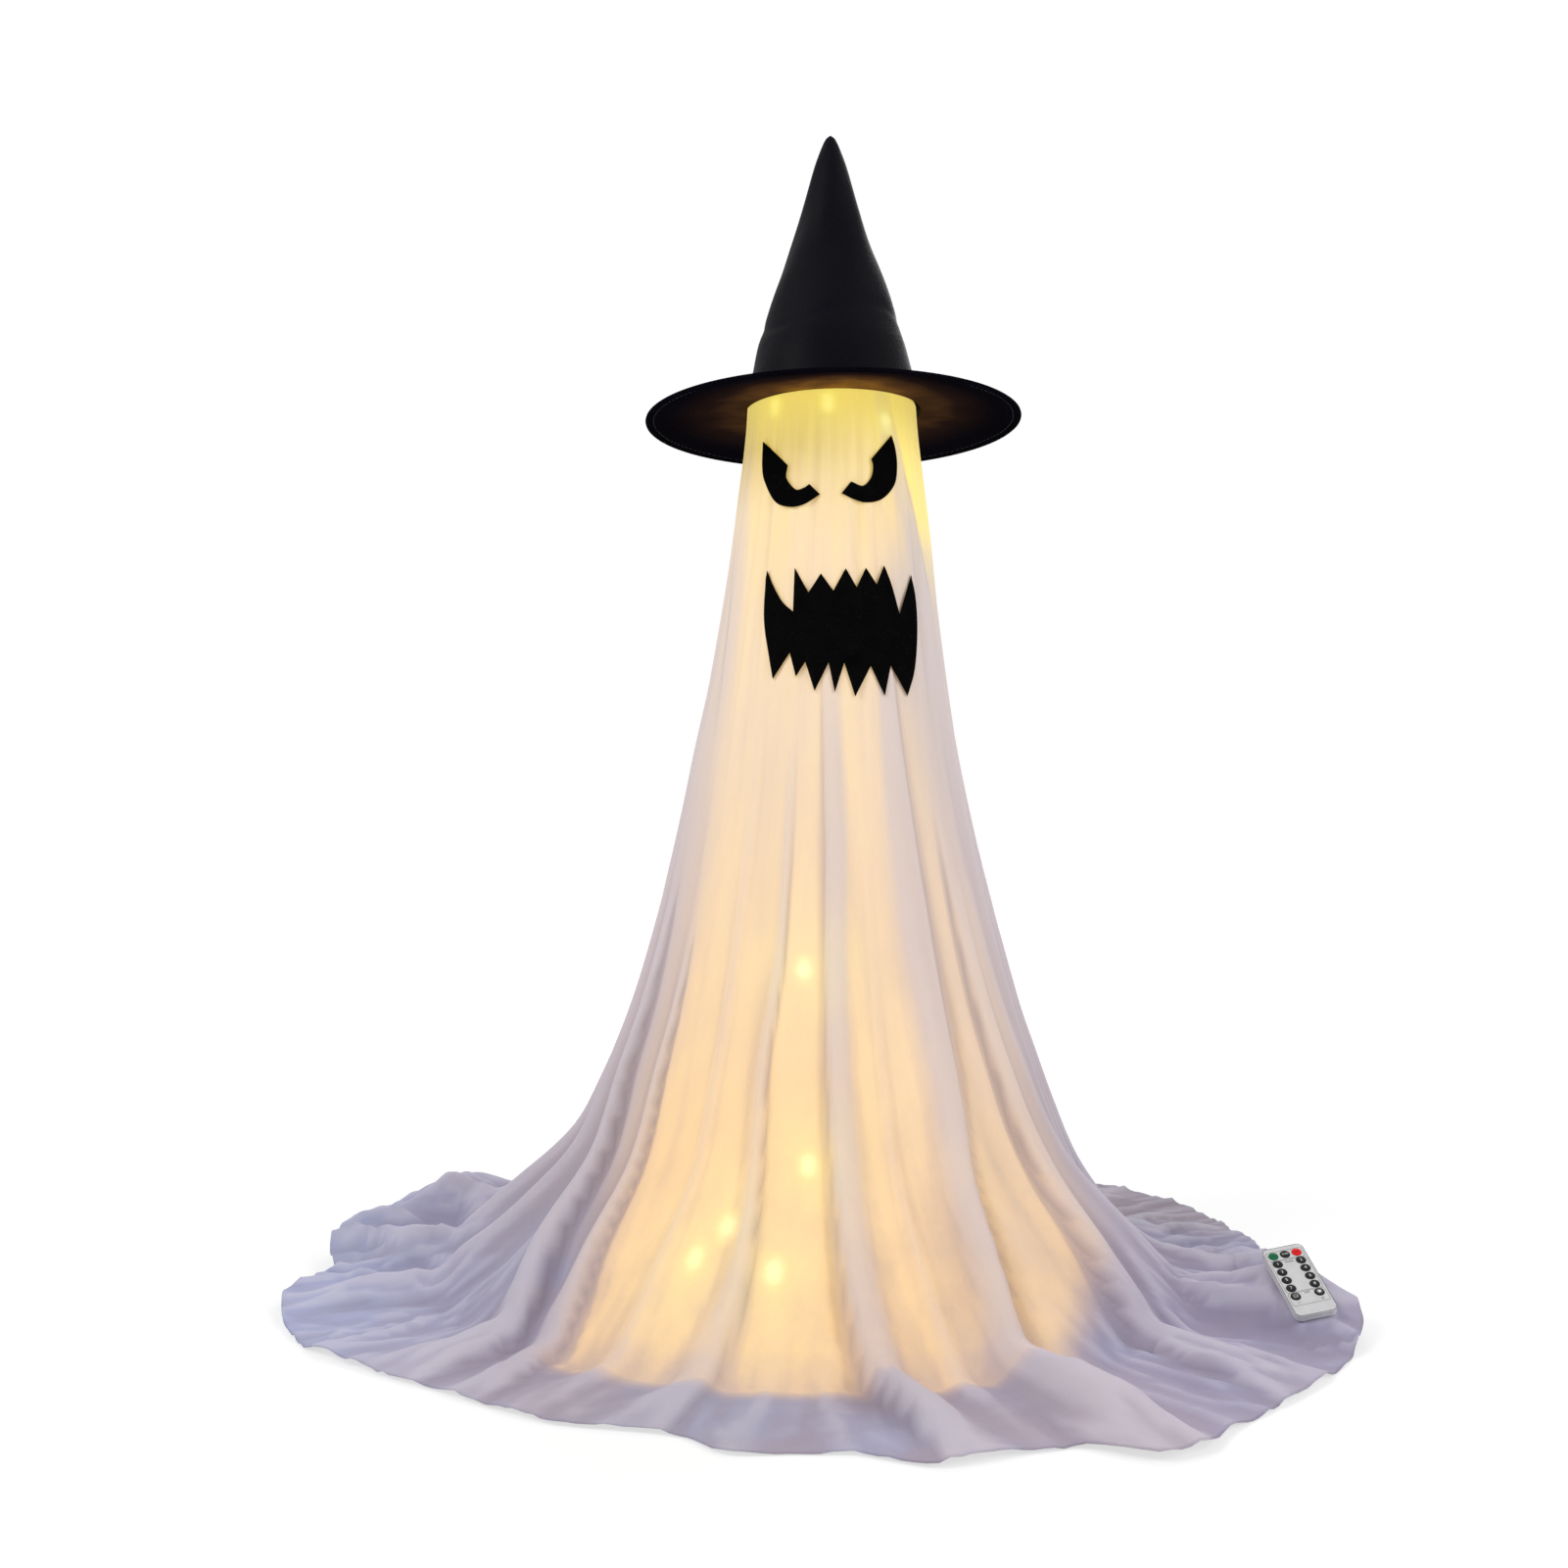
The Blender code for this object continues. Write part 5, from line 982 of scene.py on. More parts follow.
# Felt face. Outlines as shares of each piece's box, from its left and its lower edge
clothLine = drapeLine()[::-1]
felt = {
    "thickness": 0.0011,
    "gap": 0.0009,
    "grid": 0.0032,
    "edgeStep": 0.003,             # along straight edges
    "curveSteps": 6,
    "edgeRoomShare": 0.6,          # of the grid, kept free inside the outline
    "deepest": -0.001,             # how far the felt follows the cloth into its pleats
    "settleRounds": 4,
    "sharpAngle": 50,
    "leftEye": {
        "left": -0.0705, "right": -0.0115, "foot": 0.789, "height": 0.073, "sharp": (0, 1, 5, 6),
        "outline": (
            (0.01, 1.00), (0.45, 0.59), (0.43, 0.41), (0.58, 0.24), (0.72, 0.25), (0.82, 0.30), (1.00, 0.15),
            (0.73, 0.02), (0.48, 0.00), (0.23, 0.10), (0.05, 0.40), (0.00, 0.63),
        ),
    },
    "rightEye": {
        "left": 0.010, "right": 0.0665, "foot": 0.793, "height": 0.073, "sharp": (0, 1, 5, 6),
        "outline": (
            (0.90, 1.00), (0.53, 0.62), (0.56, 0.51), (0.52, 0.35), (0.38, 0.23), (0.17, 0.28), (0.00, 0.11),
            (0.26, 0.02), (0.48, 0.00), (0.74, 0.08), (0.95, 0.30), (1.00, 0.56), (0.97, 0.81),
        ),
    },
    "mouth": {
        "left": -0.0675, "right": 0.0865, "foot": 0.596, "height": 0.134,
        "sharp": (0, *range(3, 13), 14, 15, *range(19, 33), 34),
        "outline": (
            (0.02, 0.97), (0.06, 0.85), (0.12, 0.72), (0.19, 0.64), (0.20, 0.97), (0.29, 0.78), (0.37, 0.92),
            (0.45, 0.79), (0.53, 0.96), (0.60, 0.82), (0.66, 0.97), (0.73, 0.85), (0.78, 1.00), (0.83, 0.85),
            (0.88, 0.64), (0.96, 0.95), (0.99, 0.78), (1.00, 0.53), (0.98, 0.23), (0.93, 0.02), (0.82, 0.24),
            (0.78, 0.01), (0.69, 0.23), (0.59, 0.00), (0.52, 0.25), (0.46, 0.03), (0.42, 0.25), (0.33, 0.04),
            (0.27, 0.26), (0.21, 0.15), (0.17, 0.33), (0.06, 0.14), (0.04, 0.27), (0.00, 0.59), (0.01, 0.91),
        ),
    },
}


def feltOutline(shape):
    # Smooth runs between the sharp corners, as metres across and up
    knots = [
        Vector((shape["left"] + x * (shape["right"] - shape["left"]), shape["foot"] + z * shape["height"]))
        for x, z in shape["outline"]
    ]
    sharp, count = sorted(shape["sharp"]), len(knots)
    line = []
    for place, start in enumerate(sharp):
        end = sharp[(place + 1) % len(sharp)]
        run = [knots[(start + step) % count] for step in range((end - start) % count + 1)]
        if len(run) == 2:
            steps = max(2, int((run[1] - run[0]).length / felt["edgeStep"]))
            line += [tuple(run[0].lerp(run[1], step / steps)) for step in range(steps)]
        else:
            line += [tuple(point) for point in curveThrough(run, felt["curveSteps"])[:-1]]
    return line


def clothSurface(spots, lift):
    # Points of the cloth's front behind places given across and up, lifted off it
    spots = np.array(spots)
    plain = np.interp(spots[:, 1], clothLine[:, 1], clothLine[:, 0])
    radius = plain
    for _round in range(felt["settleRounds"]):
        degrees = np.degrees(np.arcsin(np.clip(spots[:, 0] / radius, -1, 1)))
        rise, _band, _crease = foldRise(spots[:, 1], degrees)
        radius = plain + np.maximum(rise, felt["deepest"]) + lift
    depth = np.sqrt(np.maximum(radius ** 2 - spots[:, 0] ** 2, 0))
    return np.column_stack([spots[:, 0], -depth, spots[:, 1]])


feltColours = {
    "plain": (0.003, 0.003, 0.003), "dark": (0.0015, 0.0015, 0.0018), "worn": (0.0045, 0.004, 0.004),
    "lint": (0.018, 0.016, 0.018),
}


feltGrain = {
    "roughness": 0.95, "sheen": (0.006, 0.5),
    # per metre, detail, roughness
    "fibres": (900.0, 4.0, 0.7), "patches": (60.0, 3.0), "lint": (420.0, 1.0),
    "lintFrom": (0.66, 0.76), "lintShare": 0.35,
    "fibreBump": (0.0005, 0.6), "patchBump": (0.0012, 0.4),
}


def makeFeltFinish():
    grain, colours = feltGrain, feltColours
    finish, tree, shader = newFinish("feltFinish", colours["plain"], grain["roughness"], specular=0.0)
    addSheen(shader, *grain["sheen"])
    spot = objectSpot(tree)
    fibres, patches, lint = (noiseOf(tree, spot, *grain[kind]) for kind in ("fibres", "patches", "lint"))
    colour = mixOf(tree, patches, colours["dark"], colours["worn"])
    linty = timesOf(tree, rangeOf(tree, lint, *grain["lintFrom"]), grain["lintShare"])
    tree.links.new(mixOf(tree, linty, colour, colours["lint"]), shader.inputs["Base Color"])
    under = bumpOf(tree, shader, fibres, *grain["fibreBump"])
    bumpOf(tree, shader, patches, *grain["patchBump"], under)
    return finish


def makeFelt(name, finish, node):
    shape = felt[name]
    outline = feltOutline(shape)
    low, high = Vector(np.min(outline, axis=0)), Vector(np.max(outline, axis=0))
    inner = []
    for row in np.arange(low.y, high.y, felt["grid"]):
        for column in np.arange(low.x, high.x, felt["grid"]):
            spot = Vector((column, row))
            near = min((spot - Vector(edge)).length for edge in outline)
            if near > felt["edgeRoomShare"] * felt["grid"]:
                inner.append(spot)
    points = [Vector(edge) for edge in outline] + inner
    edges = [(step, (step + 1) % len(outline)) for step in range(len(outline))]
    flat, _edges, faces, *_rest = geometry.delaunay_2d_cdt(points, edges, [list(range(len(outline)))], 1, 1e-6)
    used = sorted({corner for face in faces for corner in face})
    place = {corner: step for step, corner in enumerate(used)}
    spots = [tuple(flat[corner]) for corner in used]
    faces = [tuple(place[corner] for corner in face) for face in faces]
    front = clothSurface(spots, felt["gap"] + felt["thickness"])
    back = clothSurface(spots, felt["gap"])
    count = len(spots)
    points = np.vstack([front, back])
    first, second, third = (Vector(front[corner]) for corner in faces[0][:3])
    if (second - first).cross(third - first).y > 0:
        faces = [face[::-1] for face in faces]
    sides = {}
    for face in faces:
        for start, end in zip(face, face[1:] + face[:1]):
            sides[(start, end)] = True
    rims = [(start, end) for start, end in sides if (end, start) not in sides]
    skin = list(faces) + [tuple(corner + count for corner in face[::-1]) for face in faces]
    skin += [(end, start, start + count, end + count) for start, end in rims]
    piece = addPiece(name, points, skin, finish, "stand")
    piece.data.set_sharp_from_angle(angle=math.radians(felt["sharpAngle"]))
    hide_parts(node)


feltFinish = makeFeltFinish()
for feltName, feltNode in (("leftEye", "left_eye"), ("rightEye", "right_eye"), ("mouth", "mouth")):
    makeFelt(feltName, feltFinish, feltNode)
print("felt face cut and laid on the cloth")


# Hat
hat = {
    "foot": (0.0018, 0.0, 0.908),
    "tilt": -1.0,                  # degrees, towards its own right
    "columns": 144,
    "coneSteps": 7,
    "wall": 0.0012,
    "tip": 0.0006,                 # least radius
    "tipWall": 1.6,                # the cloth is doubled at the tip, in walls
    "tipFrom": 0.28,
    "innerTip": 0.0003,
    # cone: radius and height above the brim
    "cone": (
        (0.0945, 0.0016), (0.0875, 0.030), (0.0795, 0.0635), (0.0719, 0.0845), (0.0584, 0.126),
        (0.0377, 0.188), (0.0200, 0.250), (0.0129, 0.271), (0.0060, 0.287), (0.0010, 0.2922),
    ),
    # unevenness of the cone's cloth. Waves: depth, count round, start, twist from foot to tip
    "waves": ((0.0014, 2, 0.6, 9), (0.0009, 5, 0.0, -14)),
    "calmEnds": (1.05, 0.8),       # how the waves die out at the foot and the tip
    "dent": (0.0022, 0.62, 0.06, 2.5, 3),      # depth, share of the height, half height, bearing, power
    "crease": (0.0012, 0.30, 0.018, 0.04),     # depth, share of the height, half height, how it wanders
    "seam": (0.0007, 2.30, 0.035),             # rise, bearing, half width
    "lean": 0.0022,
    "brimMouth": 0.0925,
    "brimWall": 0.0012,
    "brimWaves": ((0.0013, 3, 1.1), (0.0008, 7, -0.4)),
    # brim: radius and height of the middle of the cloth, out to the wire in its edge
    "brimLine": ((0.0925, 0.0006), (0.128, -0.0015), (0.164, -0.0050), (0.1926, -0.0105), (0.195, -0.0110)),
    "brimSteps": 10,
    "brimColumns": 192,
    "brimRows": 22,
    "rollRadius": 0.0024,
    "rollAngles": range(140, -141, -35),
    "stitchRadius": 0.1890,
    "stitches": 150,
    "stitchShare": 0.62,           # of the way to the next stitch
    "stitchHalf": 0.00028,
    "stitchLift": 0.00068,
    "stitchCrown": 0.00032,
    "pucker": (0.004, 0.00020),    # how near the stitches, and how deep
    # how far in from the mouth the light under the brim reaches, and how it fades round from the front
    "litReach": (0.002, 0.085),
    "litRound": 75.0,
    "litBackShare": 0.45,
}
hatFrame = Matrix.Translation(hat["foot"]) @ Matrix.Rotation(math.radians(hat["tilt"]), 4, "Y")


def intoHat(points):
    return [tuple(hatFrame @ Vector(point)) for point in points]


hatColours = {
    "plain": (0.003, 0.003, 0.004), "sheen": (0.62, 0.60, 1.0),
    "dark": (0.0012, 0.0010, 0.0018), "worn": (0.0038, 0.0034, 0.0064), "threads": (0.009, 0.008, 0.013),
    # the ghost's light on the underside of the brim
    "under": (
        (0.0, (0.0, 0.0, 0.0)), (0.25, (0.012, 0.005, 0.002)), (0.6, (0.080, 0.034, 0.008)),
        (1.0, (0.250, 0.110, 0.012)),
    ),
    "stitch": (0.014, 0.013, 0.017), "stitchDark": (0.008, 0.008, 0.010), "stitchPale": (0.030, 0.028, 0.036),
}


hatGrain = {
    "roughness": (0.46, 0.60), "coneGloss": 0.035, "sheen": (0.004, 0.30),
    # per metre across, along and up, detail
    "threads": ((1500.0, 1500.0, 240.0), 1.0), "rows": ((260.0, 260.0, 1700.0), 1.0),
    "patches": (18.0, 3.0), "dents": (55.0, 3.0), "mottles": (30.0, 3.0),
    "threadsFrom": (0.45, 0.75, 0.0, 0.4), "roughFrom": (0.3, 0.7), "mottlesFrom": (0.3, 0.7, 0.75, 1.1),
    "weaveBump": (0.0003, 0.45), "dentBump": (0.0016, 0.35),
    "stitchRoughness": 0.6, "stitchTwist": (2400.0, 2.0), "stitchBump": (0.0002, 0.5),
}


def makeHatFinish(name, glowing):
    grain, colours = hatGrain, hatColours
    gloss = 0.0 if glowing else grain["coneGloss"]
    finish, tree, shader = newFinish(name, colours["plain"], grain["roughness"][0], specular=gloss)
    addSheen(shader, *grain["sheen"], colours["sheen"])
    spot = objectSpot(tree)
    threads, rows = stretchedNoise(tree, *grain["threads"]), stretchedNoise(tree, *grain["rows"])
    patches, dents = noiseOf(tree, spot, *grain["patches"]), noiseOf(tree, spot, *grain["dents"])
    colour = mixOf(tree, patches, colours["dark"], colours["worn"])
    colour = mixOf(tree, rangeOf(tree, threads, *grain["threadsFrom"]), colour, colours["threads"])
    tree.links.new(colour, shader.inputs["Base Color"])
    rough = rangeOf(tree, patches, *grain["roughFrom"], *grain["roughness"])
    tree.links.new(rough, shader.inputs["Roughness"])
    under = bumpOf(tree, shader, mathOf(tree, "ADD", threads, rows), *grain["weaveBump"])
    bumpOf(tree, shader, dents, *grain["dentBump"], under)
    if glowing:
        mottled = rangeOf(tree, noiseOf(tree, spot, *grain["mottles"]), *grain["mottlesFrom"])
        uneven = timesOf(tree, numberOf(tree, "warm"), mottled)
        tree.links.new(rampOf(tree, uneven, colours["under"]), shader.inputs["Emission Color"])
        shader.inputs["Emission Strength"].default_value = 1.0
    return finish


def conePoint(profile, turn):
    # The cone's cloth is a little uneven: soft waves, a dent on one side, a crease and a leaning seam
    radius, height = profile
    share = height / hat["cone"][-1][1]
    reach, power = hat["calmEnds"]
    soft = math.sin(math.pi * min(share * reach, 1.0)) ** power
    wave = sum(
        depth * soft * math.sin(count * turn + start + twist * share)
        for depth, count, start, twist in hat["waves"]
    )
    depth, middle, half, bearing, power = hat["dent"]
    dent = -depth * bell(share, middle, half) * max(0.0, math.cos(turn - bearing)) ** power
    depth, middle, half, wander = hat["crease"]
    crease = -depth * bell(share, middle + wander * math.sin(2 * turn), half) * soft
    depth, bearing, half = hat["seam"]
    seam = depth * bell(turn, bearing, half)
    reach = max(radius + wave + dent + crease + seam, hat["tip"])
    return reach * math.sin(turn) + hat["lean"] * share ** 3, -reach * math.cos(turn), height


def makeCone():
    # One closed skin: outside, inside, the lip between them at the foot and two caps at the tip
    columns, wall = hat["columns"], hat["wall"]
    outer = curveThrough(hat["cone"], hat["coneSteps"])
    rows = len(outer)
    foot = hat["cone"][0][1]
    inner = []
    for radius, height in outer:
        sunk = hat["tipWall"] * wall if height > hat["tipFrom"] else 0.0
        inner.append((max(radius - wall, hat["innerTip"]), max(height - sunk, foot)))
    turns = np.linspace(0.0, 2 * math.pi, columns, endpoint=False)
    points = [conePoint(profile, turn) for skin in (outer, inner) for profile in skin for turn in turns]
    step = rows * columns
    faces = [face[::-1] for face in gridFaces(rows, columns)] + gridFaces(rows, columns, step)
    faces += [(step + c, step + (c + 1) % columns, (c + 1) % columns, c) for c in range(columns)]
    tip, innerTip = step - columns, 2 * step - columns
    faces += [tuple(tip + c for c in range(columns)), tuple(innerTip + c for c in reversed(range(columns)))]
    piece = addPiece("hatCone", intoHat(points), faces, makeHatFinish("hatConeFinish", False), "hat")
    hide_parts("hat_cone")


brimCurve = curveThrough(hat["brimLine"], hat["brimSteps"]).T


def brimHeight(radius, turn):
    share = (radius - hat["brimMouth"]) / (hat["brimLine"][-1][0] - hat["brimMouth"])
    swell = math.sin(math.pi * min(share, 1.0))
    wave = sum(depth * swell * math.sin(count * turn + start) for depth, count, start in hat["brimWaves"])
    return np.interp(radius, *brimCurve) + wave


def makeBrim():
    # One closed skin: top, rolled edge round the wire, underside
    mouth, wire, roll, half = hat["brimMouth"], hat["brimLine"][-1][0], hat["rollRadius"], hat["brimWall"] / 2
    across = np.linspace(mouth, wire - roll, hat["brimRows"])
    section = [(radius, half, radius) for radius in across]
    for angle in np.radians(hat["rollAngles"]):
        section.append((wire + roll * math.cos(angle), roll * math.sin(angle), wire))
    section += [(radius, -half, radius) for radius in across[::-1]]
    count, columns = len(section), hat["brimColumns"]
    turns = np.linspace(0.0, 2 * math.pi, columns, endpoint=False)
    nearness, depth = hat["pucker"]
    margin, reach = hat["litReach"]
    points, warm = [], []
    for radius, lift, bearing in section:
        near = abs(radius - hat["stitchRadius"]) < nearness
        inward = 1.0 - float(smoothStep((radius - mouth - margin) / reach))
        for turn in turns:
            pucker = depth * math.sin(turn * hat["stitches"] / 2) if near else 0.0
            height = brimHeight(bearing, turn) + lift + pucker
            points.append((radius * math.sin(turn), -radius * math.cos(turn), height))
            away = math.degrees(min(turn, 2 * math.pi - turn))
            lit = 1.0 - (1.0 - hat["litBackShare"]) * float(smoothStep(away / hat["litRound"]))
            warm.append(lit * inward if lift < 0 else 0.0)
    faces = [face[::-1] for face in gridFaces(count, columns, closedRows=True)]
    piece = addPiece("hatBrim", intoHat(points), faces, makeHatFinish("hatBrimFinish", True), "hat")
    setNumbers(piece.data, "warm", warm)
    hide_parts("hat_brim")


def makeStitches():
    # Short thread stitches that hold the edge's roll, above and below, each of three 3-sided sections
    radius, width = hat["stitchRadius"], hat["stitchHalf"]
    points, faces = [], []
    ring = [(0, 2), (2, 1), (1, 0)]
    half = hat["stitchShare"] * math.pi / hat["stitches"]
    for step in range(hat["stitches"]):
        middle = 2 * math.pi * step / hat["stitches"]
        for side in (1.0, -1.0):
            base = len(points)
            for turn, lift in ((middle - half, 0.0), (middle, hat["stitchCrown"]), (middle + half, 0.0)):
                height = brimHeight(radius, turn) + side * (hat["stitchLift"] + lift)
                for aside, over in ((-width, 0.0), (width, 0.0), (0.0, width)):
                    reach = radius + aside
                    points.append((reach * math.sin(turn), -reach * math.cos(turn), height + side * over))
            for low in (base, base + 3):
                faces += [(low + a, low + b, low + 3 + b, low + 3 + a) for a, b in ring]
            faces += [(base, base + 1, base + 2), (base + 7, base + 6, base + 8)]
    finish, tree, shader = newFinish("hatThread", hatColours["stitch"], hatGrain["stitchRoughness"])
    twist = noiseOf(tree, objectSpot(tree), *hatGrain["stitchTwist"])
    colour = mixOf(tree, twist, hatColours["stitchDark"], hatColours["stitchPale"])
    tree.links.new(colour, shader.inputs["Base Color"])
    bumpOf(tree, shader, twist, *hatGrain["stitchBump"])
    piece = addPiece("brimStitches", intoHat(points), faces, finish, "hat")


makeCone()
makeBrim()
makeStitches()
print("hat shaped")


# Card remote: printed words, numbers and lines
remote = {
    "printLift": 0.00004,
    "printThick": 0.00006,
    "words": (
        # text, node it is printed on, height in metres, ink
        ("ON", "button_on", 0.0022, "green"), ("TIMER", "button_timer", 0.0016, "white"),
        ("OFF", "button_off", 0.0021, "red"),
        *((str(number), "button_" + str(number), 0.0031, "white") for number in range(1, 9)),
    ),
    # text on the face: how far across from its middle and up from its lower end, height
    "faceWords": (("MODE", 0.0, 0.0661, 0.0020), ("DIM", 0.0006, 0.0261, 0.0019)),
    "signs": ((-0.0113, 0.0160, 0.0026, False), (0.0113, 0.0160, 0.0026, True)),
    "frames": ((0.0696, 0.0808), (0.0290, 0.0688), (0.0128, 0.0282)),
    "frameInset": 0.0023,
    "frameWidth": 0.00028,
    "frameCorner": 0.0022,
    "rimInset": 0.0003,
    "rimWidth": 0.00045,
    "rimCorner": 0.0058,
    "signWidth": 0.0004,
    "signArm": (0.00075, 0.0011),  # middle and length of each upright half of the plus
    "cornerPoints": 9,
    "sun": {
        "points": 28, "radius": 0.00150, "inner": 0.00122,
        "rays": 10, "rayFrom": 0.00185, "rayTo": 0.00285, "rayHalf": 0.00014,
    },
    "font": {"curveSteps": 3, "depth": 0.012},
}
inks = {
    "green": (0.0, 0.022, 0.010), "red": (0.14, 0.0, 0.0), "white": (0.74, 0.74, 0.74),
    "dark": (0.025, 0.025, 0.03),
}
inkGrain = {
    "roughness": 0.5, "speckle": (2600.0, 2.0), "wornFrom": (0.55, 0.8, 0.0, 0.5), "bump": (0.0001, 0.3),
    "worn": (0.7, 0.06),           # worn ink keeps this share of its colour and is this much paler
}
inkFinishes = {}
cardMiddle = (cardSides[0] + cardSides[1]) / 2


def inkFinish(colour):
    if colour not in inkFinishes:
        finish, tree, shader = newFinish(colour + "Ink", inks[colour], inkGrain["roughness"])
        speckle = noiseOf(tree, objectSpot(tree), *inkGrain["speckle"])
        kept, paler = inkGrain["worn"]
        worn = tuple(kept * part + paler for part in inks[colour])
        mixed = mixOf(tree, rangeOf(tree, speckle, *inkGrain["wornFrom"]), inks[colour], worn)
        tree.links.new(mixed, shader.inputs["Base Color"])
        bumpOf(tree, shader, speckle, *inkGrain["bump"])
        inkFinishes[colour] = finish
    return inkFinishes[colour]


def cardPoint(across, along, out):
    # Across and along the card from the middle of its lower end; out is up its normal from the origin
    return cardAcross * (cardMiddle + across) + cardAlong * (cardEnds[0] + along) + cardUp * out


def addPrint(name, shapes, out, body, colour):
    # Flat shapes raised by the ink's thickness: each its points in card places and its faces
    points, faces = [], []
    for outline, cells in shapes:
        base = len(points)
        count = len(outline)
        points += [cardPoint(x, y, out + remote["printThick"]) for x, y in outline]
        points += [cardPoint(x, y, out) for x, y in outline]
        edges = {}
        for cell in cells:
            faces.append(tuple(base + corner for corner in cell))
            faces.append(tuple(base + count + corner for corner in reversed(cell)))
            for start, end in zip(cell, cell[1:] + cell[:1]):
                edges[(start, end)] = True
        for start, end in edges:
            if (end, start) not in edges:
                faces.append((base + end, base + start, base + count + start, base + count + end))
    piece = addPiece(name, points, faces, inkFinish(colour), body, smooth=False)


def ringCells(count):
    # Quads between an outer and an inner closed line of as many points each
    return [(step, (step + 1) % count, count + (step + 1) % count, count + step) for step in range(count)]


def roundedStrip(left, right, low, high, corner, width):
    # A closed line round a box with round corners
    inner, outer = [], []
    for middleX, middleY, start in (
        (right - corner, high - corner, 0), (left + corner, high - corner, 90),
        (left + corner, low + corner, 180), (right - corner, low + corner, 270),
    ):
        for angle in np.radians(np.linspace(start, start + 90, remote["cornerPoints"])):
            side = Vector((math.cos(angle), math.sin(angle)))
            middle = Vector((middleX, middleY))
            outer.append(tuple(middle + side * corner))
            inner.append(tuple(middle + side * (corner - width)))
    return outer + inner, ringCells(len(outer))


def barShape(x, y, width, height):
    corners = [(x - width / 2, y - height / 2), (x + width / 2, y - height / 2)]
    corners += [(x + width / 2, y + height / 2), (x - width / 2, y + height / 2)]
    return corners, [(0, 1, 2, 3)]


def sunShapes(x, y, filled):
    # A disc or a ring with rays round it
    sun, middle = remote["sun"], Vector((x, y))
    turns = np.linspace(0, 2 * math.pi, sun["points"], endpoint=False)
    outline, inner = (
        [(x + radius * math.cos(turn), y + radius * math.sin(turn)) for turn in turns]
        for radius in (sun["radius"], sun["inner"])
    )
    if filled:
        shapes = [(outline, [tuple(range(len(outline)))])]
    else:
        shapes = [(outline + inner, ringCells(len(outline)))]
    near, far, half = sun["rayFrom"], sun["rayTo"], sun["rayHalf"]
    for step in range(sun["rays"]):
        turn = 2 * math.pi * step / sun["rays"]
        along, aside = Vector((math.cos(turn), math.sin(turn))), Vector((-math.sin(turn), math.cos(turn)))
        corners = [
            tuple(middle + along * reach + aside * side)
            for reach, side in ((near, -half), (far, -half), (far, half), (near, half))
        ]
        shapes.append((corners, [(0, 1, 2, 3)]))
    return shapes


def addWord(name, text, x, y, height, out, body, colour):
    # Words are drawn with the built-in font, then made into a thin mesh
    letters = bpy.data.curves.new(name, "FONT")
    letters.body = text
    letters.align_x, letters.align_y = "CENTER", "CENTER"
    letters.resolution_u = remote["font"]["curveSteps"]
    letters.extrude = remote["font"]["depth"]
    holder = bpy.data.objects.new(name + "Letters", letters)
    bpy.context.scene.collection.objects.link(holder)
    bpy.context.view_layer.update()
    mesh = bpy.data.meshes.new_from_object(holder.evaluated_get(bpy.context.evaluated_depsgraph_get()))
    bpy.data.objects.remove(holder)
    bpy.data.curves.remove(letters)
    ups = [vertex.co.y for vertex in mesh.vertices]
    sides = [vertex.co.x for vertex in mesh.vertices]
    scale = height / (max(ups) - min(ups))
    shiftX, shiftY = (max(sides) + min(sides)) / 2, (max(ups) + min(ups)) / 2
    for vertex in mesh.vertices:
        lift = out + (remote["printThick"] if vertex.co.z > 0 else 0.0)
        vertex.co = cardPoint(x + (vertex.co.x - shiftX) * scale, y + (vertex.co.y - shiftY) * scale, lift)
    mesh.materials.clear()
    mesh.materials.append(inkFinish(colour))
    piece = bpy.data.objects.new(name, mesh)
    bpy.context.scene.collection.objects.link(piece)
    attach(piece, body)


def middleOf(node):
    sides, ends = reachOf(node, cardAcross), reachOf(node, cardAlong)
    return (sides[0] + sides[1]) / 2 - cardMiddle, (ends[0] + ends[1]) / 2 - cardEnds[0]


def makePrints():
    lift = remote["printLift"]
    for text, node, height, colour in remote["words"]:
        x, y = middleOf(node)
        addWord("word_" + node, text, x, y, height, reachOf(node, cardUp)[1] + lift, node, colour)
    for node, filled in (("button_dimmer", False), ("button_brighter", True)):
        x, y = middleOf(node)
        addPrint("sun_" + node, sunShapes(x, y, filled), reachOf(node, cardUp)[1] + lift, node, "white")
    face = cardFace + lift
    for text, x, y, height in remote["faceWords"]:
        addWord("word" + text.capitalize(), text, x, y, height, face, "card", "dark")
    bars = []
    width, (arm, armLength) = remote["signWidth"], remote["signArm"]
    for x, y, length, crossed in remote["signs"]:
        bars.append(barShape(x, y, length, width))
        if crossed:
            bars += [barShape(x, y + arm, width, armLength), barShape(x, y - arm, width, armLength)]
    half = (cardSides[1] - cardSides[0]) / 2
    inset = half - remote["frameInset"]
    for low, high in remote["frames"]:
        bars.append(roundedStrip(-inset, inset, low, high, remote["frameCorner"], remote["frameWidth"]))
    left, right = (side - cardMiddle + remote["rimInset"] for side in reachOf("card_face", cardAcross))
    low, high = (end - cardEnds[0] + remote["rimInset"] for end in reachOf("card_face", cardAlong))
    right, high = right - 2 * remote["rimInset"], high - 2 * remote["rimInset"]
    bars.append(roundedStrip(left, right, low, high, remote["rimCorner"], remote["rimWidth"]))
    addPrint("facePrint", bars, face, "card", "dark")


makePrints()
print("remote printed")


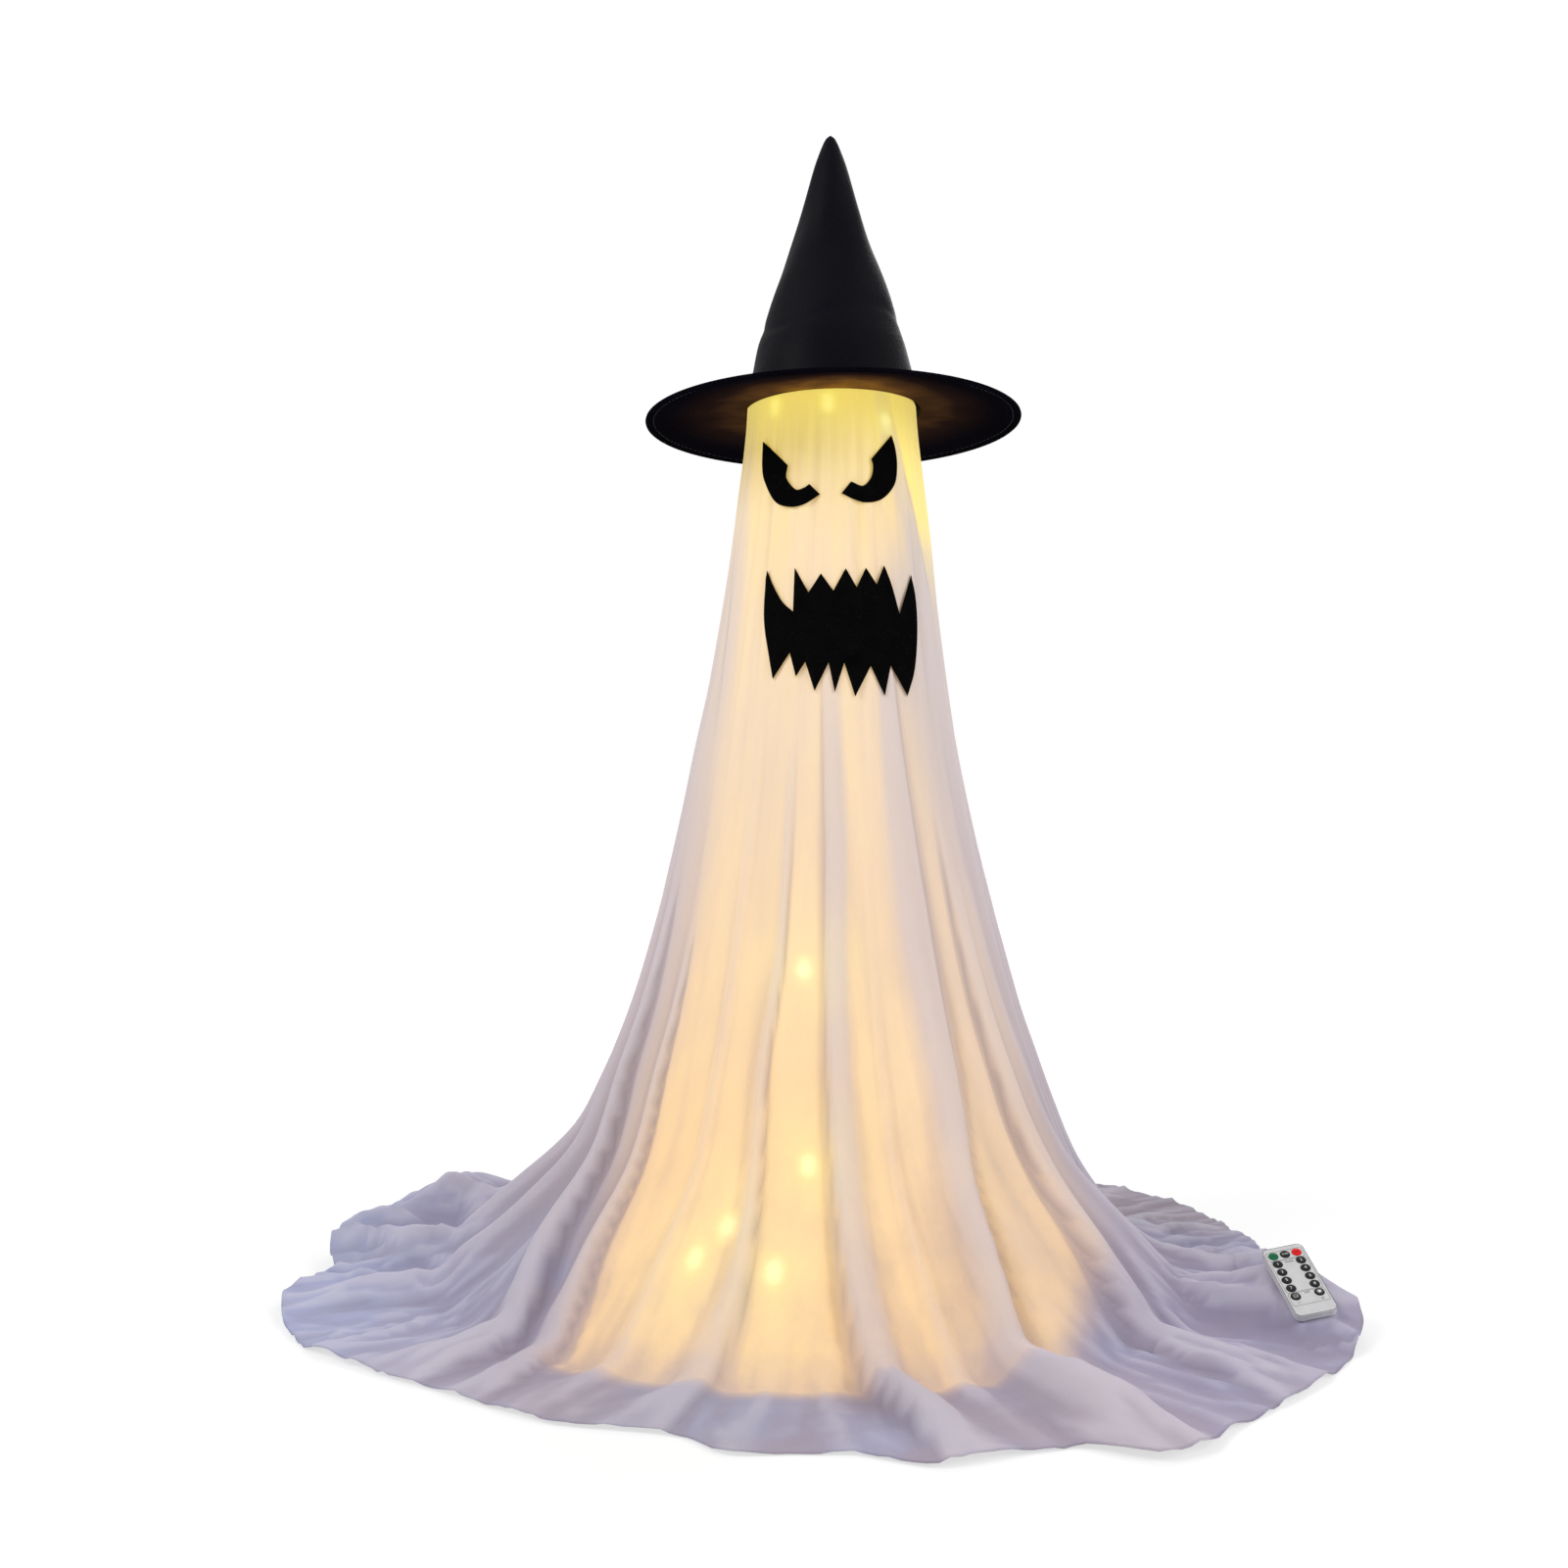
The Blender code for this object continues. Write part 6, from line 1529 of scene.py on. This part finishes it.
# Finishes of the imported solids, by the record's slots
# colour, second colour, roughness, metallic, grain per metre, bump depth, bump strength
solidFinishes = {
    "black_steel": ((0.020, 0.020, 0.023), (0.032, 0.032, 0.036), 0.42, 0.0, 1100.0, 0.0003, 0.35),
    "foam_pad": ((0.030, 0.030, 0.032), (0.060, 0.060, 0.062), 0.95, 0.0, 800.0, 0.0010, 0.80),
    "zinc_steel": ((0.60, 0.61, 0.63), (0.48, 0.49, 0.52), 0.34, 1.0, 420.0, 0.0002, 0.25),
    "black_plastic": ((0.014, 0.014, 0.015), (0.024, 0.024, 0.025), 0.55, 0.0, 1900.0, 0.0002, 0.40),
    "white_plastic": ((0.76, 0.76, 0.73), (0.68, 0.67, 0.63), 0.46, 0.0, 1300.0, 0.0002, 0.30),
    "light_string": ((0.86, 0.72, 0.40), (0.62, 0.42, 0.18), 0.22, 0.0, 300.0, 0.0002, 0.30),
    "cell_wrap": ((0.05, 0.16, 0.07), (0.03, 0.10, 0.05), 0.30, 0.0, 160.0, 0.0002, 0.20),
    "contact_metal": ((0.55, 0.53, 0.49), (0.45, 0.43, 0.39), 0.36, 1.0, 600.0, 0.0002, 0.25),
    "circuit_board": ((0.012, 0.14, 0.045), (0.020, 0.22, 0.075), 0.34, 0.0, 700.0, 0.0002, 0.30),
    "dark_lens": ((0.016, 0.006, 0.014), (0.030, 0.012, 0.022), 0.12, 0.0, 90.0, 0.0001, 0.15),
    "card_grey": ((0.60, 0.60, 0.61), (0.54, 0.54, 0.55), 0.40, 0.0, 1700.0, 0.0001, 0.30),
    "button_black": ((0.005, 0.005, 0.006), (0.010, 0.010, 0.011), 0.46, 0.0, 1500.0, 0.0001, 0.30),
    "button_green": ((0.0, 0.155, 0.050), (0.0, 0.115, 0.040), 0.42, 0.0, 1500.0, 0.0001, 0.30),
    "button_red": ((0.76, 0.006, 0.008), (0.60, 0.004, 0.006), 0.42, 0.0, 1500.0, 0.0001, 0.30),
    "hat_cloth": ((0.008, 0.008, 0.010), (0.016, 0.015, 0.020), 0.60, 0.0, 900.0, 0.0003, 0.40),
    "ghost_cloth": ((0.66, 0.58, 0.50), (0.58, 0.50, 0.48), 0.85, 0.0, 900.0, 0.0004, 0.40),
    "black_felt": ((0.008, 0.008, 0.009), (0.016, 0.015, 0.016), 0.95, 0.0, 900.0, 0.0005, 0.60),
}


# How every solid's two colours mix, and what only some of them have
solidGrain = {
    "gloss": 0.45, "buttonGloss": 0.18,
    "broadShare": 18.0,            # the broad patches are this many times the grain's size
    "broadDetail": 3.0, "fineDetail": 2.0,
    "broadFrom": (0.35, 0.65), "fineFrom": (0.55, 0.8, 0.0, 0.4),
    "roughFrom": (0.3, 0.7), "roughSpread": 0.06, "leastRough": 0.02,
    "tracks": 420.0, "tracksFrom": (0.30, 0.34, 0.0, 0.7), "trackColour": (0.10, 0.34, 0.14),
    "lightFrom": (0.4, 0.7, 0.2, 1.0), "lightStrength": 0.6,
    "lightColours": ((0.30, 0.18, 0.02), (0.62, 0.42, 0.08)),
}


def makeSolidFinish(slot):
    colour, second, roughness, metallic, grain, depth, strength = solidFinishes[slot]
    ways = solidGrain
    first, *others = slot.split("_")
    name = first + "".join(part.capitalize() for part in others)
    gloss = ways["buttonGloss"] if slot.startswith("button") else ways["gloss"]
    finish, tree, shader = newFinish(name + "Solid", colour, roughness, metallic, gloss)
    spot = objectSpot(tree)
    broad = noiseOf(tree, spot, grain / ways["broadShare"], ways["broadDetail"])
    fine = noiseOf(tree, spot, grain, ways["fineDetail"])
    mixed = mixOf(tree, rangeOf(tree, broad, *ways["broadFrom"]), colour, second)
    mixed = mixOf(tree, rangeOf(tree, fine, *ways["fineFrom"]), mixed, second)
    if slot == "circuit_board":
        spread = {"Vector": spot, "Scale": ways["tracks"]}
        tracks = addNode(tree, "TexVoronoi", {"distance": "CHEBYCHEV"}, spread)
        near = rangeOf(tree, tracks.outputs[0], *ways["tracksFrom"])
        mixed = mixOf(tree, near, mixed, ways["trackColour"])
    if slot == "light_string":
        shine = mixOf(tree, rangeOf(tree, broad, *ways["lightFrom"]), *ways["lightColours"])
        tree.links.new(shine, shader.inputs["Emission Color"])
        shader.inputs["Emission Strength"].default_value = ways["lightStrength"]
    tree.links.new(mixed, shader.inputs["Base Color"])
    smoothest = max(roughness - ways["roughSpread"], ways["leastRough"])
    roughest = min(roughness + ways["roughSpread"], 1.0)
    rough = rangeOf(tree, broad, *ways["roughFrom"], smoothest, roughest)
    tree.links.new(rough, shader.inputs["Roughness"])
    bumpOf(tree, shader, fine, depth, strength)
    return finish


def finishSolids():
    made = {}
    for row in frame["record"]["subparts"]:
        slot = row["material_slot"]
        if slot not in made:
            made[slot] = makeSolidFinish(slot)
        piece = nodes[row["node"]]
        if not piece.material_slots:
            piece.data.materials.append(made[slot])
        for place in piece.material_slots:
            place.material = made[slot]
    print("solids finished in", len(made), "finishes")


finishSolids()
